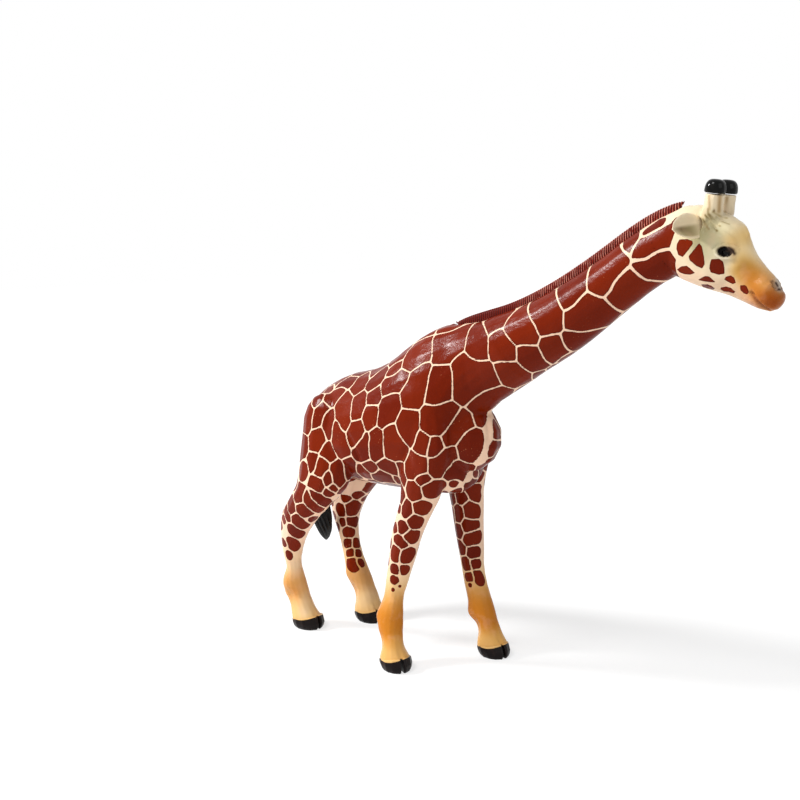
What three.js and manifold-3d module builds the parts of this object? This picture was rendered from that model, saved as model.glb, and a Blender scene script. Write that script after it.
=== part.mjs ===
// A moulded toy giraffe in its walking pose, as the glued pieces that it is put together from.
// Millimetres. +X is forwards, +Y the animal's left, +Z up, and the soles stand on z = 0.
import * as THREE from "three";
import { mergeVertices } from "three/addons/utils/BufferGeometryUtils.js";
import Module from "manifold-3d";

const wasm = await Module();
wasm.setup();

// Fits that every glued joint shares
const glueGap = 0.3; // left between two pieces at each seat
const cutOverrun = 2; // how far a cutting solid runs past what it cuts

// Torso
const torsoLength = 92; // rump to chest
const torsoDepth = 44; // belly to back behind the withers
const torsoWidth = 41;
const bellyHeight = 64.2; // floor to belly
const rumpSetback = 31.5; // rump behind the middle of the stance
const rumpRounding = 1.9; // length of the rounded end
const chestLength = 29; // the breast's bulge below the neck
const chestWidth = 23;
const chestHeight = 27;

// Neck
const neckLength = 100; // chord, withers to skull
const neckDepth = 22; // crest to throat at half its length
const neckWidth = 19;
const neckBaseForward = 46; // where the chord starts
const neckBaseHeight = 106.5;
const neckRiseDegrees = 31.5;

// Head
const headLength = 41.5; // nape to lips
const headDepth = 22; // crown to jaw
const headWidth = 16.4;
const headDroopDegrees = 31; // the face points below the horizon
const muzzleRounding = 2.3;
const mouthDepth = 0.9; // how far the lips' line is cut in
const mouthOpening = 0.7;
const nostrilLength = 2.4;
const nostrilHeight = 1.5;
const nostrilDepth = 0.8;
const eyeLength = 5.2;
const eyeHeight = 3.6;
const eyeBulge = 3.2; // across the head
const browLength = 10.5;
const browHeight = 7.4;
const browWidth = 6;

// Ears
const earLength = 13.5; // skull to tip
const earWidth = 8;
const earThickness = 3;
const earHollowDepth = 1.5;
const earDroop = 1; // tip below root

// Ossicones, the skin-covered horns
const ossiconeBaseDiameter = 6.2;
const ossiconeTopDiameter = 5.8;
const ossiconeHeight = 4.8; // skull to cap
const ossiconeSpacing = 7.2; // centre to centre
const ossiconeCapDiameter = 6.4;
const ossiconeCapHeight = 4.2;
const ossiconeSplayDegrees = 1;
const ossiconeLeanDegrees = 8; // forwards
const ossiconeRoot = 3; // let into the skull
const capPegDiameter = 2.4;
const capPegLength = 2;

// Mane
const maneWidth = 3.4;
const maneHeight = 2.6; // above the skin
const maneTongueDepth = 1.2; // let into the neck's crest
const maneStrandPitch = 2.1;
const maneStrandRelief = 0.5;

// Tail
const tailLength = 42.5; // stem, root to tuft
const tailDiameter = 5.6;
const tailRoot = 5; // let into the rump
const tuftLength = 27;
const tuftWidth = 9.5;
const tuftGrooveDepth = 0.6;
const tuftPegDiameter = 2.6;
const tuftPegLength = 4;

// Legs
const legRootRise = 20.3; // from the belly up to where a leg's centre line ends inside the torso
const legRootHeight = bellyHeight + legRootRise;
const shoulderForward = 39;
const shoulderSide = 12.5;
const shoulderRounding = 20; // the domed top of a front leg inside the torso
const hipSetback = 13;
const hipSide = 12.3;
const hipRounding = 15;
const frontLegLength = 14; // fore and aft
const frontLegWidth = 11;
const hindLegLength = 16;
const hindLegWidth = 12;
const legSeamDrop = 3; // seam below the belly
const legPegDiameter = 6.4;
const legPegLength = 9;
const neckPegDiameter = 11;
const neckPegLength = 9;
const headPegDiameter = 8;
const headPegLength = 7;
const pegTaperShare = 0.86; // tip over root

// Hooves
const hoofToeHeight = 6; // seam height at the toe
const hoofHeelHeight = 2.8; // seam height at the heel
const hoofReach = 15; // toe to heel, for the seam's slope
const cleftWidth = 1.1;
const cleftTopHeight = 9; // the cleft runs up between the toes

// Where each hoof stands: forwards and sideways of the stance's middle, and its heading
const stance = {
  front_right: { forward: 30, side: -20.2, heading: -26 },
  front_left: { forward: 49.4, side: 14.2, heading: -14 },
  hind_right: { forward: -29.4, side: -9.7, heading: -4 },
  hind_left: { forward: -15.2, side: 12.8, heading: -16 },
};

// Facets
const trunkFacets = 24;
const trunkStations = 40;
const headFacets = 20;
const headStations = 16;
const legFacets = 14;
const legStations = 20;
const smallFacets = 12;

const up = new THREE.Vector3(0, 0, 1);
const left = new THREE.Vector3(0, 1, 0);
const forward = new THREE.Vector3(1, 0, 0);

// A geometry as a manifold solid: doubles merged, and turned outside out if its volume is negative.
function solidOf(geometry) {
  const bare = geometry.index ? geometry.toNonIndexed() : geometry.clone();
  for (const name of Object.keys(bare.attributes)) {
    if (name !== "position") bare.deleteAttribute(name);
  }
  const merged = mergeVertices(bare, 1e-4);
  const triVerts = new Uint32Array(merged.index.array);
  const vertProperties = merged.attributes.position.array;
  const made = new wasm.Manifold(new wasm.Mesh({ numProp: 3, vertProperties, triVerts }));
  if (made.volume() > 0) return made;
  for (let i = 0; i < triVerts.length; i += 3) {
    [triVerts[i + 1], triVerts[i + 2]] = [triVerts[i + 2], triVerts[i + 1]];
  }
  return new wasm.Manifold(new wasm.Mesh({ numProp: 3, vertProperties, triVerts }));
}

// A manifold solid back as a three.js geometry.
function geometryOf(solid) {
  const mesh = solid.getMesh();
  const places = new Float32Array(mesh.numVert * 3);
  for (let i = 0; i < mesh.numVert; i++) {
    places.set(mesh.vertProperties.subarray(i * mesh.numProp, i * mesh.numProp + 3), i * 3);
  }
  const geometry = new THREE.BufferGeometry();
  geometry.setAttribute("position", new THREE.BufferAttribute(places, 3));
  geometry.setIndex(new THREE.BufferAttribute(mesh.triVerts, 1));
  geometry.computeVertexNormals();
  return geometry;
}

// Rows of shares read as smooth curves: every column's value at a place between the first column's values.
function readShares(rows, place) {
  const last = rows.length - 1;
  let i = 0;
  while (i < last - 1 && place > rows[i + 1][0]) i++;
  const span = rows[i + 1][0] - rows[i][0];
  const t = Math.min(Math.max((place - rows[i][0]) / span, 0), 1);
  const slope = (k, column) => {
    const a = rows[Math.max(k - 1, 0)];
    const b = rows[Math.min(k + 1, last)];
    return ((b[column] - a[column]) / (b[0] - a[0])) * span;
  };
  return rows[i].map((value, column) => {
    const end = rows[i + 1][column];
    const a = slope(i, column);
    const b = slope(i + 1, column);
    return value + t * (a + t * (3 * (end - value) - 2 * a - b + t * (2 * (value - end) + a + b)));
  });
}

// Evenly spaced places from one value to another, both included.
function places(from, to, count) {
  return Array.from({ length: count + 1 }, (_, i) => from + ((to - from) * i) / count);
}

// One oval section. Its upper and lower halves differ, and taper narrows it towards the top.
function ovalRing({ centre, sideAxis, topAxis, side, top, bottom, taper = 0 }, facets) {
  return Array.from({ length: facets }, (_, i) => {
    const turn = (2 * Math.PI * i) / facets;
    const across = side * Math.cos(turn) * (1 - taper * Math.sin(turn));
    const along = (Math.sin(turn) > 0 ? top : bottom) * Math.sin(turn);
    return centre.clone().addScaledVector(sideAxis, across).addScaledVector(topAxis, along);
  });
}

// Sections that close an end as a quarter ellipse, nearest the given section first.
function roundedEnd(section, direction, length, steps = 4) {
  return Array.from({ length: steps }, (_, i) => {
    const turn = (Math.PI / 2) * ((i + 1) / (steps + 0.35));
    const centre = section.centre.clone().addScaledVector(direction, length * Math.sin(turn));
    const shrink = Math.cos(turn);
    const { side, top, bottom } = section;
    return { ...section, centre, side: side * shrink, top: top * shrink, bottom: bottom * shrink };
  });
}

// A closed solid through oval sections in order, with a flat facet fan at each end.
function loft(sections, facets, grow = 0) {
  const rings = sections.map((section) => {
    const { side, top, bottom } = section;
    return ovalRing({ ...section, side: side + grow, top: top + grow, bottom: bottom + grow }, facets);
  });
  return skinOver(rings);
}

// Rings of equal count as one closed mesh.
function skinOver(rings) {
  const facets = rings[0].length;
  const points = rings.flat();
  const index = [];
  for (let r = 0; r + 1 < rings.length; r++) {
    for (let i = 0; i < facets; i++) {
      const a = r * facets + i;
      const b = r * facets + ((i + 1) % facets);
      index.push(a, b, b + facets, a, b + facets, a + facets);
    }
  }
  const middle = (ring) => ring.reduce((sum, p) => sum.add(p), new THREE.Vector3()).divideScalar(facets);
  const first = points.push(middle(rings[0])) - 1;
  const final = points.push(middle(rings[rings.length - 1])) - 1;
  const lastRing = (rings.length - 1) * facets;
  for (let i = 0; i < facets; i++) {
    const next = (i + 1) % facets;
    index.push(first, next, i, final, lastRing + i, lastRing + next);
  }
  const geometry = new THREE.BufferGeometry().setFromPoints(points);
  geometry.setIndex(index);
  return solidOf(geometry);
}

// What of a solid lies beyond a plane through a point, in the normal's direction.
function beyond(solid, normal, point, gap = 0) {
  return solid.trimByPlane(normal.toArray(), normal.dot(point) + gap);
}

// A round peg or socket from a point along a direction, tapering to its tip.
function peg(point, direction, diameter, length, grow = 0) {
  const reach = length + grow + cutOverrun;
  const tip = (diameter * pegTaperShare) / 2 + grow;
  const shape = new THREE.CylinderGeometry(tip, diameter / 2 + grow, reach, smallFacets);
  const middle = point.clone().addScaledVector(direction, reach / 2 - cutOverrun);
  const turn = new THREE.Quaternion().setFromUnitVectors(left, direction);
  return solidOf(shape.applyQuaternion(turn).translate(middle.x, middle.y, middle.z));
}

// An ellipsoid by its full sizes, turned in the animal's midplane by droop radians.
function ellipsoid(centre, length, width, height, facets, droop = 0) {
  const shape = new THREE.SphereGeometry(1 / 2, facets, Math.round(facets / 2));
  shape.rotateX(Math.PI / 2).scale(length, width, height).rotateY(droop);
  return solidOf(shape.translate(centre.x, centre.y, centre.z));
}

// The trunk is one skin from rump to skull. Each section runs from the belly or throat line up to the
// crest line, so the sections stand upright at the rump and fan forwards over the chest into the neck.
// Crest: forwards in torso lengths, up in torso depths; belly: the same; half width in torso widths;
// how much wider the section is low down
const torsoShares = [
  [0.038, 0.65, 0.04, 0.27, 0.19, 0.16],
  [0.074, 0.77, 0.072, 0.1, 0.3, 0.16],
  [0.136, 0.855, 0.136, 0.03, 0.39, 0.16],
  [0.25, 0.96, 0.25, 0.007, 0.45, 0.16],
  [0.38, 1.02, 0.38, 0.0, 0.483, 0.16],
  [0.5, 1.12, 0.5, 0.0, 0.488, 0.16],
  [0.6, 1.26, 0.636, 0.007, 0.473, 0.16],
  [0.69, 1.375, 0.777, 0.012, 0.445, 0.16],
  [0.766, 1.435, 0.865, 0.07, 0.4, 0.16],
  [0.83, 1.46, 0.89, 0.27, 0.34, 0.16],
  [0.886, 1.475, 0.91, 0.52, 0.285, 0.05],
  [0.957, 1.49, 0.985, 0.77, 0.25, -0.15],
];
// Along the chord in neck lengths; crest and throat above it in neck depths; half width in neck widths
const neckShares = [
  [0.27, 0.6, -0.61, 0.59],
  [0.34, 0.52, -0.6, 0.55],
  [0.47, 0.415, -0.605, 0.505],
  [0.58, 0.375, -0.575, 0.463],
  [0.73, 0.355, -0.5, 0.426],
  [0.87, 0.375, -0.455, 0.405],
  [1.0, 0.35, -0.51, 0.4],
];
const neckRise = THREE.MathUtils.degToRad(neckRiseDegrees);
const neckDirection = new THREE.Vector3(Math.cos(neckRise), 0, Math.sin(neckRise));
const neckTop = new THREE.Vector3(-Math.sin(neckRise), 0, Math.cos(neckRise));
const neckBase = new THREE.Vector3(neckBaseForward, 0, neckBaseHeight);

function torsoPoint(along, rise) {
  return new THREE.Vector3(along * torsoLength - rumpSetback, 0, bellyHeight + rise * torsoDepth);
}

function neckPoint(along, rise) {
  const point = neckBase.clone().addScaledVector(neckDirection, along * neckLength);
  return point.addScaledVector(neckTop, rise * neckDepth);
}

// Each row: its number, crest and belly points, half width and taper.
const trunkRows = [
  ...torsoShares.map(([a, b, c, d, half, taper]) => {
    return [torsoPoint(a, b), torsoPoint(c, d), half * torsoWidth, taper];
  }),
  ...neckShares.map(([a, b, c, half]) => [neckPoint(a, b), neckPoint(a, c), half * neckWidth, 0]),
].map(([crest, belly, half, taper], i) => [i, crest.x, crest.z, belly.x, belly.z, half, taper]);

function trunkSection(place) {
  const [, crestX, crestZ, bellyX, bellyZ, side, taper] = readShares(trunkRows, place);
  const crest = new THREE.Vector3(crestX, 0, crestZ);
  const belly = new THREE.Vector3(bellyX, 0, bellyZ);
  const centre = crest.clone().add(belly).multiplyScalar(1 / 2);
  const half = crest.distanceTo(belly) / 2;
  const topAxis = crest.sub(belly).normalize();
  return { centre, sideAxis: left, topAxis, side, top: half, bottom: half, taper };
}

const chestShares = [0.86, 0.53]; // the bulge's middle, in torso lengths and torso depths

function trunkSolid() {
  const sections = places(0, trunkRows.length - 1, trunkStations).map(trunkSection);
  const rump = roundedEnd(sections[0], forward.clone().negate(), rumpRounding, 2).reverse();
  const chest = ellipsoid(torsoPoint(...chestShares), chestLength, chestWidth, chestHeight, legFacets);
  return loft([...rump, ...sections], trunkFacets).add(chest);
}

// Head: sections square to the face's axis.
// Length share; crown, jaw in head depths; half width in head widths
const headShares = [
  [0, 0.42, -0.49, 0.43],
  [0.1, 0.52, -0.5, 0.47],
  [0.24, 0.59, -0.495, 0.49],
  [0.36, 0.62, -0.455, 0.5],
  [0.48, 0.575, -0.4, 0.47],
  [0.56, 0.465, -0.35, 0.405],
  [0.64, 0.37, -0.305, 0.345],
  [0.76, 0.29, -0.262, 0.3],
  [0.88, 0.225, -0.225, 0.315],
  [0.945, 0.145, -0.18, 0.27],
];
const headDroop = THREE.MathUtils.degToRad(headDroopDegrees);
const headDirection = new THREE.Vector3(Math.cos(headDroop), 0, -Math.sin(headDroop));
const headTop = new THREE.Vector3(Math.sin(headDroop), 0, Math.cos(headDroop));
// The nape lies behind and above the neck's end by these shares of the head's length and depth.
const headStartShares = [-0.048, 0.038];
const neckEnd = neckPoint(1, 0);
const headBase = neckEnd
  .clone()
  .addScaledVector(headDirection, headStartShares[0] * headLength)
  .addScaledVector(headTop, headStartShares[1] * headDepth);

// A point of the head by its shares: along the face's axis, above it, and sideways in half widths.
function headPoint(share, rise, side) {
  const point = headBase.clone().addScaledVector(headDirection, share * headLength);
  point.addScaledVector(headTop, rise * headDepth);
  return point.addScaledVector(left, side * headWidth);
}

function headSection(share) {
  const [, crown, jaw, halfWidth] = readShares(headShares, share);
  const centre = headPoint(share, (crown + jaw) / 2, 0);
  const half = ((crown - jaw) / 2) * headDepth;
  return { centre, sideAxis: left, topAxis: headTop, side: halfWidth * headWidth, top: half, bottom: half };
}

function headSolid(grow = 0) {
  const sections = places(0, headShares[headShares.length - 1][0], headStations).map(headSection);
  const muzzle = roundedEnd(sections[sections.length - 1], headDirection, muzzleRounding + grow, 3);
  return loft([...sections, ...muzzle], headFacets, grow);
}

// Eyes sit in the brows; each place is a share along, above and beside the face's axis.
const eyeShares = [0.51, 0.27, 0.385];
const browShares = [0.44, 0.3, 0.3];
const nostrilShares = [0.91, 0.145, 0.205];
const mouthShares = { start: 0.7, height: -0.15, slope: 0.03 };

function browSolid(side) {
  const [along, rise, out] = browShares;
  const centre = headPoint(along, rise, side * out);
  return ellipsoid(centre, browLength, browWidth, browHeight, smallFacets, headDroop);
}

function eyeSolid(side, grow = 0) {
  const [along, rise, out] = eyeShares;
  const centre = headPoint(along, rise, side * out);
  const add = 2 * grow;
  return ellipsoid(centre, eyeLength + add, eyeBulge + add, eyeHeight + add, smallFacets, headDroop);
}

function nostrilPit(side) {
  const [along, rise, out] = nostrilShares;
  const centre = headPoint(along, rise, side * out);
  return ellipsoid(centre, nostrilLength, 2 * nostrilDepth, nostrilHeight, smallFacets, headDroop);
}

// The line of the lips: a thin wedge, less the core of the head, so that only the skin is cut.
function mouthCut() {
  const length = headLength * (1 - mouthShares.start) + cutOverrun;
  const slab = new THREE.BoxGeometry(length, headWidth, mouthOpening);
  slab.translate(length / 2, 0, 0).rotateY(headDroop - mouthShares.slope);
  const corner = headPoint(mouthShares.start, mouthShares.height, 0);
  return solidOf(slab.translate(corner.x, corner.y, corner.z)).subtract(headSolid(-mouthDepth));
}

// Ears: leaf-shaped sections from inside the skull to the tip, with a hollow scooped from the front.
// Length share; half width in ear widths; half thickness in ear thicknesses
const earShares = [
  [-0.24, 0.24, 0.42],
  [0, 0.27, 0.5],
  [0.25, 0.43, 0.5],
  [0.5, 0.5, 0.44],
  [0.75, 0.4, 0.36],
  [0.93, 0.2, 0.26],
];
const earRootShares = [0.21, 0.33, 0.42]; // along, above and beside the face's axis
const earLeanDegrees = 24; // the leaf's upper edge leans back
const earTipShare = 0.07; // its rounded tip
const earHollowShares = { from: 0.28, size: 0.74 }; // where the hollow starts, and its size to the leaf's

function earSections(side, from, thin = 1, ahead = 0) {
  const lean = THREE.MathUtils.degToRad(earLeanDegrees);
  const root = headPoint(earRootShares[0], earRootShares[1], side * earRootShares[2]);
  const widthAxis = new THREE.Vector3(-Math.sin(lean), 0, Math.cos(lean));
  const facing = new THREE.Vector3(Math.cos(lean), 0, Math.sin(lean));
  return places(from, earShares[earShares.length - 1][0], 10).map((share) => {
    const [, halfWidth, halfThick] = readShares(earShares, share);
    const centre = root.clone().addScaledVector(left, side * share * earLength);
    centre.addScaledVector(up, -Math.max(share, 0) * earDroop).addScaledVector(facing, ahead);
    const thick = halfThick * earThickness * thin;
    const wide = halfWidth * earWidth * thin;
    return { centre, sideAxis: widthAxis, topAxis: facing, side: wide, top: thick, bottom: thick };
  });
}

function earSolid(side, grow = 0) {
  const sections = earSections(side, earShares[0][0]);
  const outwards = left.clone().multiplyScalar(side);
  const tip = roundedEnd(sections[sections.length - 1], outwards, earTipShare * earLength + grow, 2);
  return loft([...sections, ...tip], smallFacets, grow);
}

function earHollow(side) {
  const ahead = earThickness - earHollowDepth;
  return loft(earSections(side, earHollowShares.from, earHollowShares.size, ahead), smallFacets);
}

// Ossicones: turned stems with a domed cap, splayed a little from the midplane.
const ossiconeShares = [0.24, 0.575]; // root, along and above the face's axis
const ossiconeWaistShare = 0.94; // of the base
const ossiconeBendShares = [0.1, 0.4, 0.75]; // heights where the stem's outline bends

function ossiconeAxis(side) {
  const splay = THREE.MathUtils.degToRad(ossiconeSplayDegrees);
  const lean = THREE.MathUtils.degToRad(ossiconeLeanDegrees);
  return new THREE.Vector3(Math.sin(lean), side * Math.sin(splay), Math.cos(lean)).normalize();
}

// A turned solid from its profile of radius and height, stood at a point along an axis.
function turned(profile, point, axis) {
  const shape = new THREE.LatheGeometry(profile.map(([r, h]) => new THREE.Vector2(r, h)), smallFacets);
  const turn = new THREE.Quaternion().setFromUnitVectors(left, axis);
  return solidOf(shape.applyQuaternion(turn).translate(point.x, point.y, point.z));
}

function ossiconeRootPoint(side) {
  const root = headPoint(ossiconeShares[0], ossiconeShares[1], 0);
  return root.addScaledVector(left, (side * ossiconeSpacing) / 2);
}

function ossiconeStem(side, grow = 0) {
  const base = ossiconeBaseDiameter / 2 + grow;
  const top = ossiconeTopDiameter / 2 + grow;
  const waist = base * ossiconeWaistShare;
  const [low, middle, high] = ossiconeBendShares.map((share) => share * ossiconeHeight);
  const profile = [
    [0, -ossiconeRoot - grow],
    [base, -ossiconeRoot - grow],
    [base, low],
    [waist, middle],
    [(waist + top) / 2, high],
    [top, ossiconeHeight],
    [0, ossiconeHeight],
  ];
  return turned(profile, ossiconeRootPoint(side), ossiconeAxis(side));
}

function ossiconeCap(side) {
  const radius = ossiconeCapDiameter / 2;
  const domeShares = [
    [0.94, 0],
    [1, 0.22],
    [0.98, 0.48],
    [0.82, 0.78],
    [0.48, 0.95],
    [0, 1],
  ];
  const dome = domeShares.map(([r, h]) => [r * radius, h * ossiconeCapHeight]);
  return turned([[0, 0], ...dome], ossiconeTopPoint(side, glueGap), ossiconeAxis(side));
}

function ossiconeTopPoint(side, lift = 0) {
  return ossiconeRootPoint(side).addScaledVector(ossiconeAxis(side), ossiconeHeight + lift);
}

// Mane: a ribbed strip along the crest line, on a tongue that sits in a groove.
const maneStartPlace = 8.6; // in trunk rows
const maneEndPlace = 17.6;
const maneNapeShares = [0.07, 0.5]; // its last point, on the head's crown

function manePath() {
  const crest = places(maneStartPlace, maneEndPlace, 10).map((place) => {
    const section = trunkSection(place);
    return section.centre.addScaledVector(section.topAxis, section.top);
  });
  return new THREE.CatmullRomCurve3([...crest, headPoint(...maneNapeShares, 0)]);
}

function maneStrip(count, sizesAt) {
  const path = manePath();
  const sections = places(0, 1, count).map((share, i) => {
    const ahead = path.getTangentAt(share);
    const topAxis = new THREE.Vector3(-ahead.z, 0, ahead.x);
    return { centre: path.getPointAt(share), sideAxis: left, topAxis, ...sizesAt(share, i) };
  });
  return loft(sections, 8);
}

// The strip is low at its two ends and reaches its full height a little way in.
function maneEndTaper(share) {
  const endShare = 0.35;
  const fadeShare = 0.06;
  return Math.min(1, endShare + Math.min(share, 1 - share) / fadeShare);
}

function maneSolid() {
  const strands = Math.round(manePath().getLength() / maneStrandPitch);
  return maneStrip(2 * strands, (share, i) => {
    const rib = i % 2 ? 0 : maneStrandRelief;
    const height = maneEndTaper(share) * (maneHeight - rib);
    return { side: maneWidth / 2 - rib / 2, top: height, bottom: maneTongueDepth };
  });
}

function maneGroove() {
  return maneStrip(30, (share) => {
    const height = maneEndTaper(share) * maneHeight;
    return { side: maneWidth / 2 + glueGap, top: height + glueGap, bottom: maneTongueDepth + glueGap };
  });
}

// Tail: a stem that hangs down close behind the rump, and its tuft, which swings back and to the left.
// Length share; forwards, left, down in tail lengths; half thickness in tail diameters
const tailShares = [
  [-0.12, 0.11, 0, -0.05, 0.45],
  [0, 0, 0, 0, 0.54],
  [0.15, -0.072, -0.02, 0.09, 0.55],
  [0.35, -0.105, -0.04, 0.27, 0.52],
  [0.6, -0.122, -0.038, 0.51, 0.48],
  [0.8, -0.147, -0.022, 0.71, 0.45],
  [1, -0.195, 0.025, 0.9, 0.42],
];
const tailProbeShare = 0.02; // how far apart two points are that give the tail's direction
const tailRootShares = [0.04, 0.635]; // in torso lengths from the rump, in torso depths above the belly
// Length share; forwards, left, down in tuft lengths past the stem; half thickness in tuft widths
const tuftShares = [
  [0, 0, 0, 0, 0.36],
  [0.15, 0.0, 0.08, 0.13, 0.52],
  [0.4, -0.02, 0.19, 0.36, 0.56],
  [0.65, -0.07, 0.29, 0.59, 0.46],
  [0.87, -0.12, 0.37, 0.77, 0.3],
  [1, -0.15, 0.41, 0.87, 0.13],
];

function tailPoint(share) {
  const [, ahead, side, down, half] = readShares(tailShares, share);
  const rootX = tailRootShares[0] * torsoLength - rumpSetback;
  const rootZ = bellyHeight + tailRootShares[1] * torsoDepth;
  const point = new THREE.Vector3(rootX, 0, rootZ);
  point.addScaledVector(new THREE.Vector3(ahead, side, -down), tailLength);
  return { point, half: half * tailDiameter };
}

function hangingSections(pointAt, shares) {
  return shares.map((share) => {
    const { point, half } = pointAt(share);
    const before = pointAt(share - tailProbeShare).point;
    const ahead = pointAt(share + tailProbeShare).point.sub(before).normalize();
    const topAxis = new THREE.Vector3().crossVectors(ahead, left).normalize();
    const sideAxis = new THREE.Vector3().crossVectors(topAxis, ahead).normalize();
    return { centre: point, sideAxis, topAxis, side: half, top: half, bottom: half };
  });
}

function tailStem(grow = 0) {
  const from = -tailRoot / tailLength - grow / tailLength;
  return loft(hangingSections(tailPoint, places(from, 1, 16)), smallFacets, grow);
}

// The tail's end and the way it points there.
function tailEnd() {
  const { point } = tailPoint(1);
  return { point, ahead: point.clone().sub(tailPoint(1 - tailProbeShare).point).normalize() };
}

function tuftPoint(share) {
  const [, ahead, side, down, half] = readShares(tuftShares, share);
  const point = tailPoint(1).point.addScaledVector(new THREE.Vector3(ahead, side, -down), tuftLength);
  return { point, half: half * tuftWidth };
}

// The tuft's hair is a scalloped ring: grooves run down its whole length, shallower where it is thin.
const tuftGrooves = 8;
const tuftGrooveShare = 0.3;

function tuftSolid() {
  const around = tuftGrooves * 2;
  const sections = hangingSections(tuftPoint, places(0, 1, 12));
  const rings = sections.map((section) => {
    const depth = Math.min(tuftGrooveDepth, section.side * tuftGrooveShare);
    return ovalRing(section, around).map((point, i) => {
      if (i % 2) return point;
      const inward = section.centre.clone().sub(point).normalize();
      return point.addScaledVector(inward, depth);
    });
  });
  return skinOver(rings);
}

// Legs: level sections from sole to root. Height share of the root's height; then front, back half lengths
// in leg lengths, half width in leg widths
const frontLegShares = [
  [0, 0.44, 0.38, 0.46],
  [0.02, 0.52, 0.45, 0.54],
  [0.05, 0.53, 0.45, 0.54],
  [0.095, 0.43, 0.43, 0.47],
  [0.143, 0.37, 0.43, 0.44],
  [0.214, 0.35, 0.42, 0.42],
  [0.298, 0.34, 0.36, 0.38],
  [0.381, 0.34, 0.35, 0.37],
  [0.476, 0.41, 0.38, 0.43],
  [0.571, 0.44, 0.45, 0.47],
  [0.667, 0.5, 0.5, 0.5],
  [0.762, 0.58, 0.58, 0.55],
  [0.881, 0.72, 0.72, 0.59],
  [1, 0.84, 0.84, 0.55],
];
const hindLegShares = [
  [0, 0.42, 0.36, 0.43],
  [0.02, 0.49, 0.42, 0.51],
  [0.05, 0.49, 0.43, 0.51],
  [0.095, 0.41, 0.4, 0.45],
  [0.143, 0.37, 0.4, 0.43],
  [0.214, 0.33, 0.37, 0.4],
  [0.298, 0.28, 0.3, 0.335],
  [0.381, 0.28, 0.3, 0.325],
  [0.476, 0.34, 0.46, 0.38],
  [0.571, 0.45, 0.69, 0.45],
  [0.62, 0.54, 0.74, 0.5],
  [0.667, 0.66, 0.7, 0.56],
  [0.762, 0.86, 0.67, 0.64],
  [0.881, 0.94, 0.73, 0.67],
  [1, 0.86, 0.68, 0.61],
];
// Height share; how far the centre line leaves the straight hoof-to-root line, forwards and to the left,
// in root heights
const legBendShares = {
  front_right: [
    [0, 0, 0],
    [0.071, -0.027, 0.0],
    [0.143, -0.075, 0.02],
    [0.214, -0.11, 0.045],
    [0.298, -0.125, 0.065],
    [0.381, -0.118, 0.07],
    [0.476, -0.105, 0.065],
    [0.571, -0.088, 0.057],
    [0.667, -0.06, 0.05],
    [0.762, -0.025, 0.04],
    [0.881, -0.007, 0.018],
    [1, 0, 0],
  ],
  front_left: [
    [0, 0, 0],
    [0.071, -0.014, 0.009],
    [0.143, -0.04, 0.018],
    [0.214, -0.064, 0.028],
    [0.298, -0.087, 0.034],
    [0.381, -0.098, 0.039],
    [0.476, -0.103, 0.046],
    [0.571, -0.102, 0.05],
    [0.667, -0.096, 0.05],
    [0.762, -0.086, 0.04],
    [0.881, -0.048, 0.018],
    [1, 0, 0],
  ],
  hind_right: [
    [0, 0, 0],
    [0.071, -0.022, 0.0],
    [0.143, -0.08, -0.004],
    [0.214, -0.107, -0.012],
    [0.298, -0.117, -0.021],
    [0.381, -0.119, -0.034],
    [0.476, -0.094, -0.05],
    [0.571, -0.045, -0.063],
    [0.667, 0.007, -0.061],
    [0.762, 0.043, -0.049],
    [0.881, 0.034, -0.024],
    [1, 0, 0],
  ],
  hind_left: [
    [0, 0, 0],
    [0.071, -0.02, 0.006],
    [0.143, -0.06, 0.013],
    [0.214, -0.092, 0.018],
    [0.298, -0.143, 0.03],
    [0.381, -0.188, 0.048],
    [0.476, -0.215, 0.06],
    [0.571, -0.196, 0.062],
    [0.667, -0.15, 0.05],
    [0.762, -0.096, 0.039],
    [0.881, -0.031, 0.02],
    [1, 0, 0],
  ],
};
const headingFadeShare = 0.5; // the foot's heading is lost by this height

function legRoot(name) {
  const side = name.endsWith("left") ? 1 : -1;
  return name.startsWith("front")
    ? new THREE.Vector3(shoulderForward, side * shoulderSide, legRootHeight)
    : new THREE.Vector3(-hipSetback, side * hipSide, legRootHeight);
}

function legSection(name, share) {
  const front = name.startsWith("front");
  const [length, width] = front ? [frontLegLength, frontLegWidth] : [hindLegLength, hindLegWidth];
  const [, ahead, behind, half] = readShares(front ? frontLegShares : hindLegShares, share);
  const [, bendForward, bendLeft] = readShares(legBendShares[name], share);
  const { forward: standForward, side: standSide, heading } = stance[name];
  const centre = new THREE.Vector3(standForward, standSide, 0).lerp(legRoot(name), share);
  centre.x += bendForward * legRootHeight;
  centre.y += bendLeft * legRootHeight;
  const turn = THREE.MathUtils.degToRad(heading) * Math.max(0, 1 - share / headingFadeShare);
  const topAxis = forward.clone().applyAxisAngle(up, turn);
  const sideAxis = left.clone().applyAxisAngle(up, turn);
  return { centre, sideAxis, topAxis, side: half * width, top: ahead * length, bottom: behind * length };
}

function legSolid(name) {
  const sections = places(0, 1, legStations).map((share) => legSection(name, share));
  // The sole's rounded edge has close stations of its own.
  sections.splice(1, 1, ...[0.012, 0.03, 0.06].map((share) => legSection(name, share)));
  const rounding = name.startsWith("front") ? shoulderRounding : hipRounding;
  return loft([...sections, ...roundedEnd(sections[sections.length - 1], up, rounding)], legFacets);
}

// The slope on which the hooves meet the foot: higher at the toe.
function hoofSeam(name) {
  const heading = THREE.MathUtils.degToRad(stance[name].heading);
  const slope = Math.atan2(hoofToeHeight - hoofHeelHeight, hoofReach);
  const normal = new THREE.Vector3(-Math.sin(slope), 0, Math.cos(slope)).applyAxisAngle(up, heading);
  const { forward: standForward, side: standSide } = stance[name];
  const middle = new THREE.Vector3(standForward, standSide, (hoofToeHeight + hoofHeelHeight) / 2);
  return { normal, middle };
}

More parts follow.
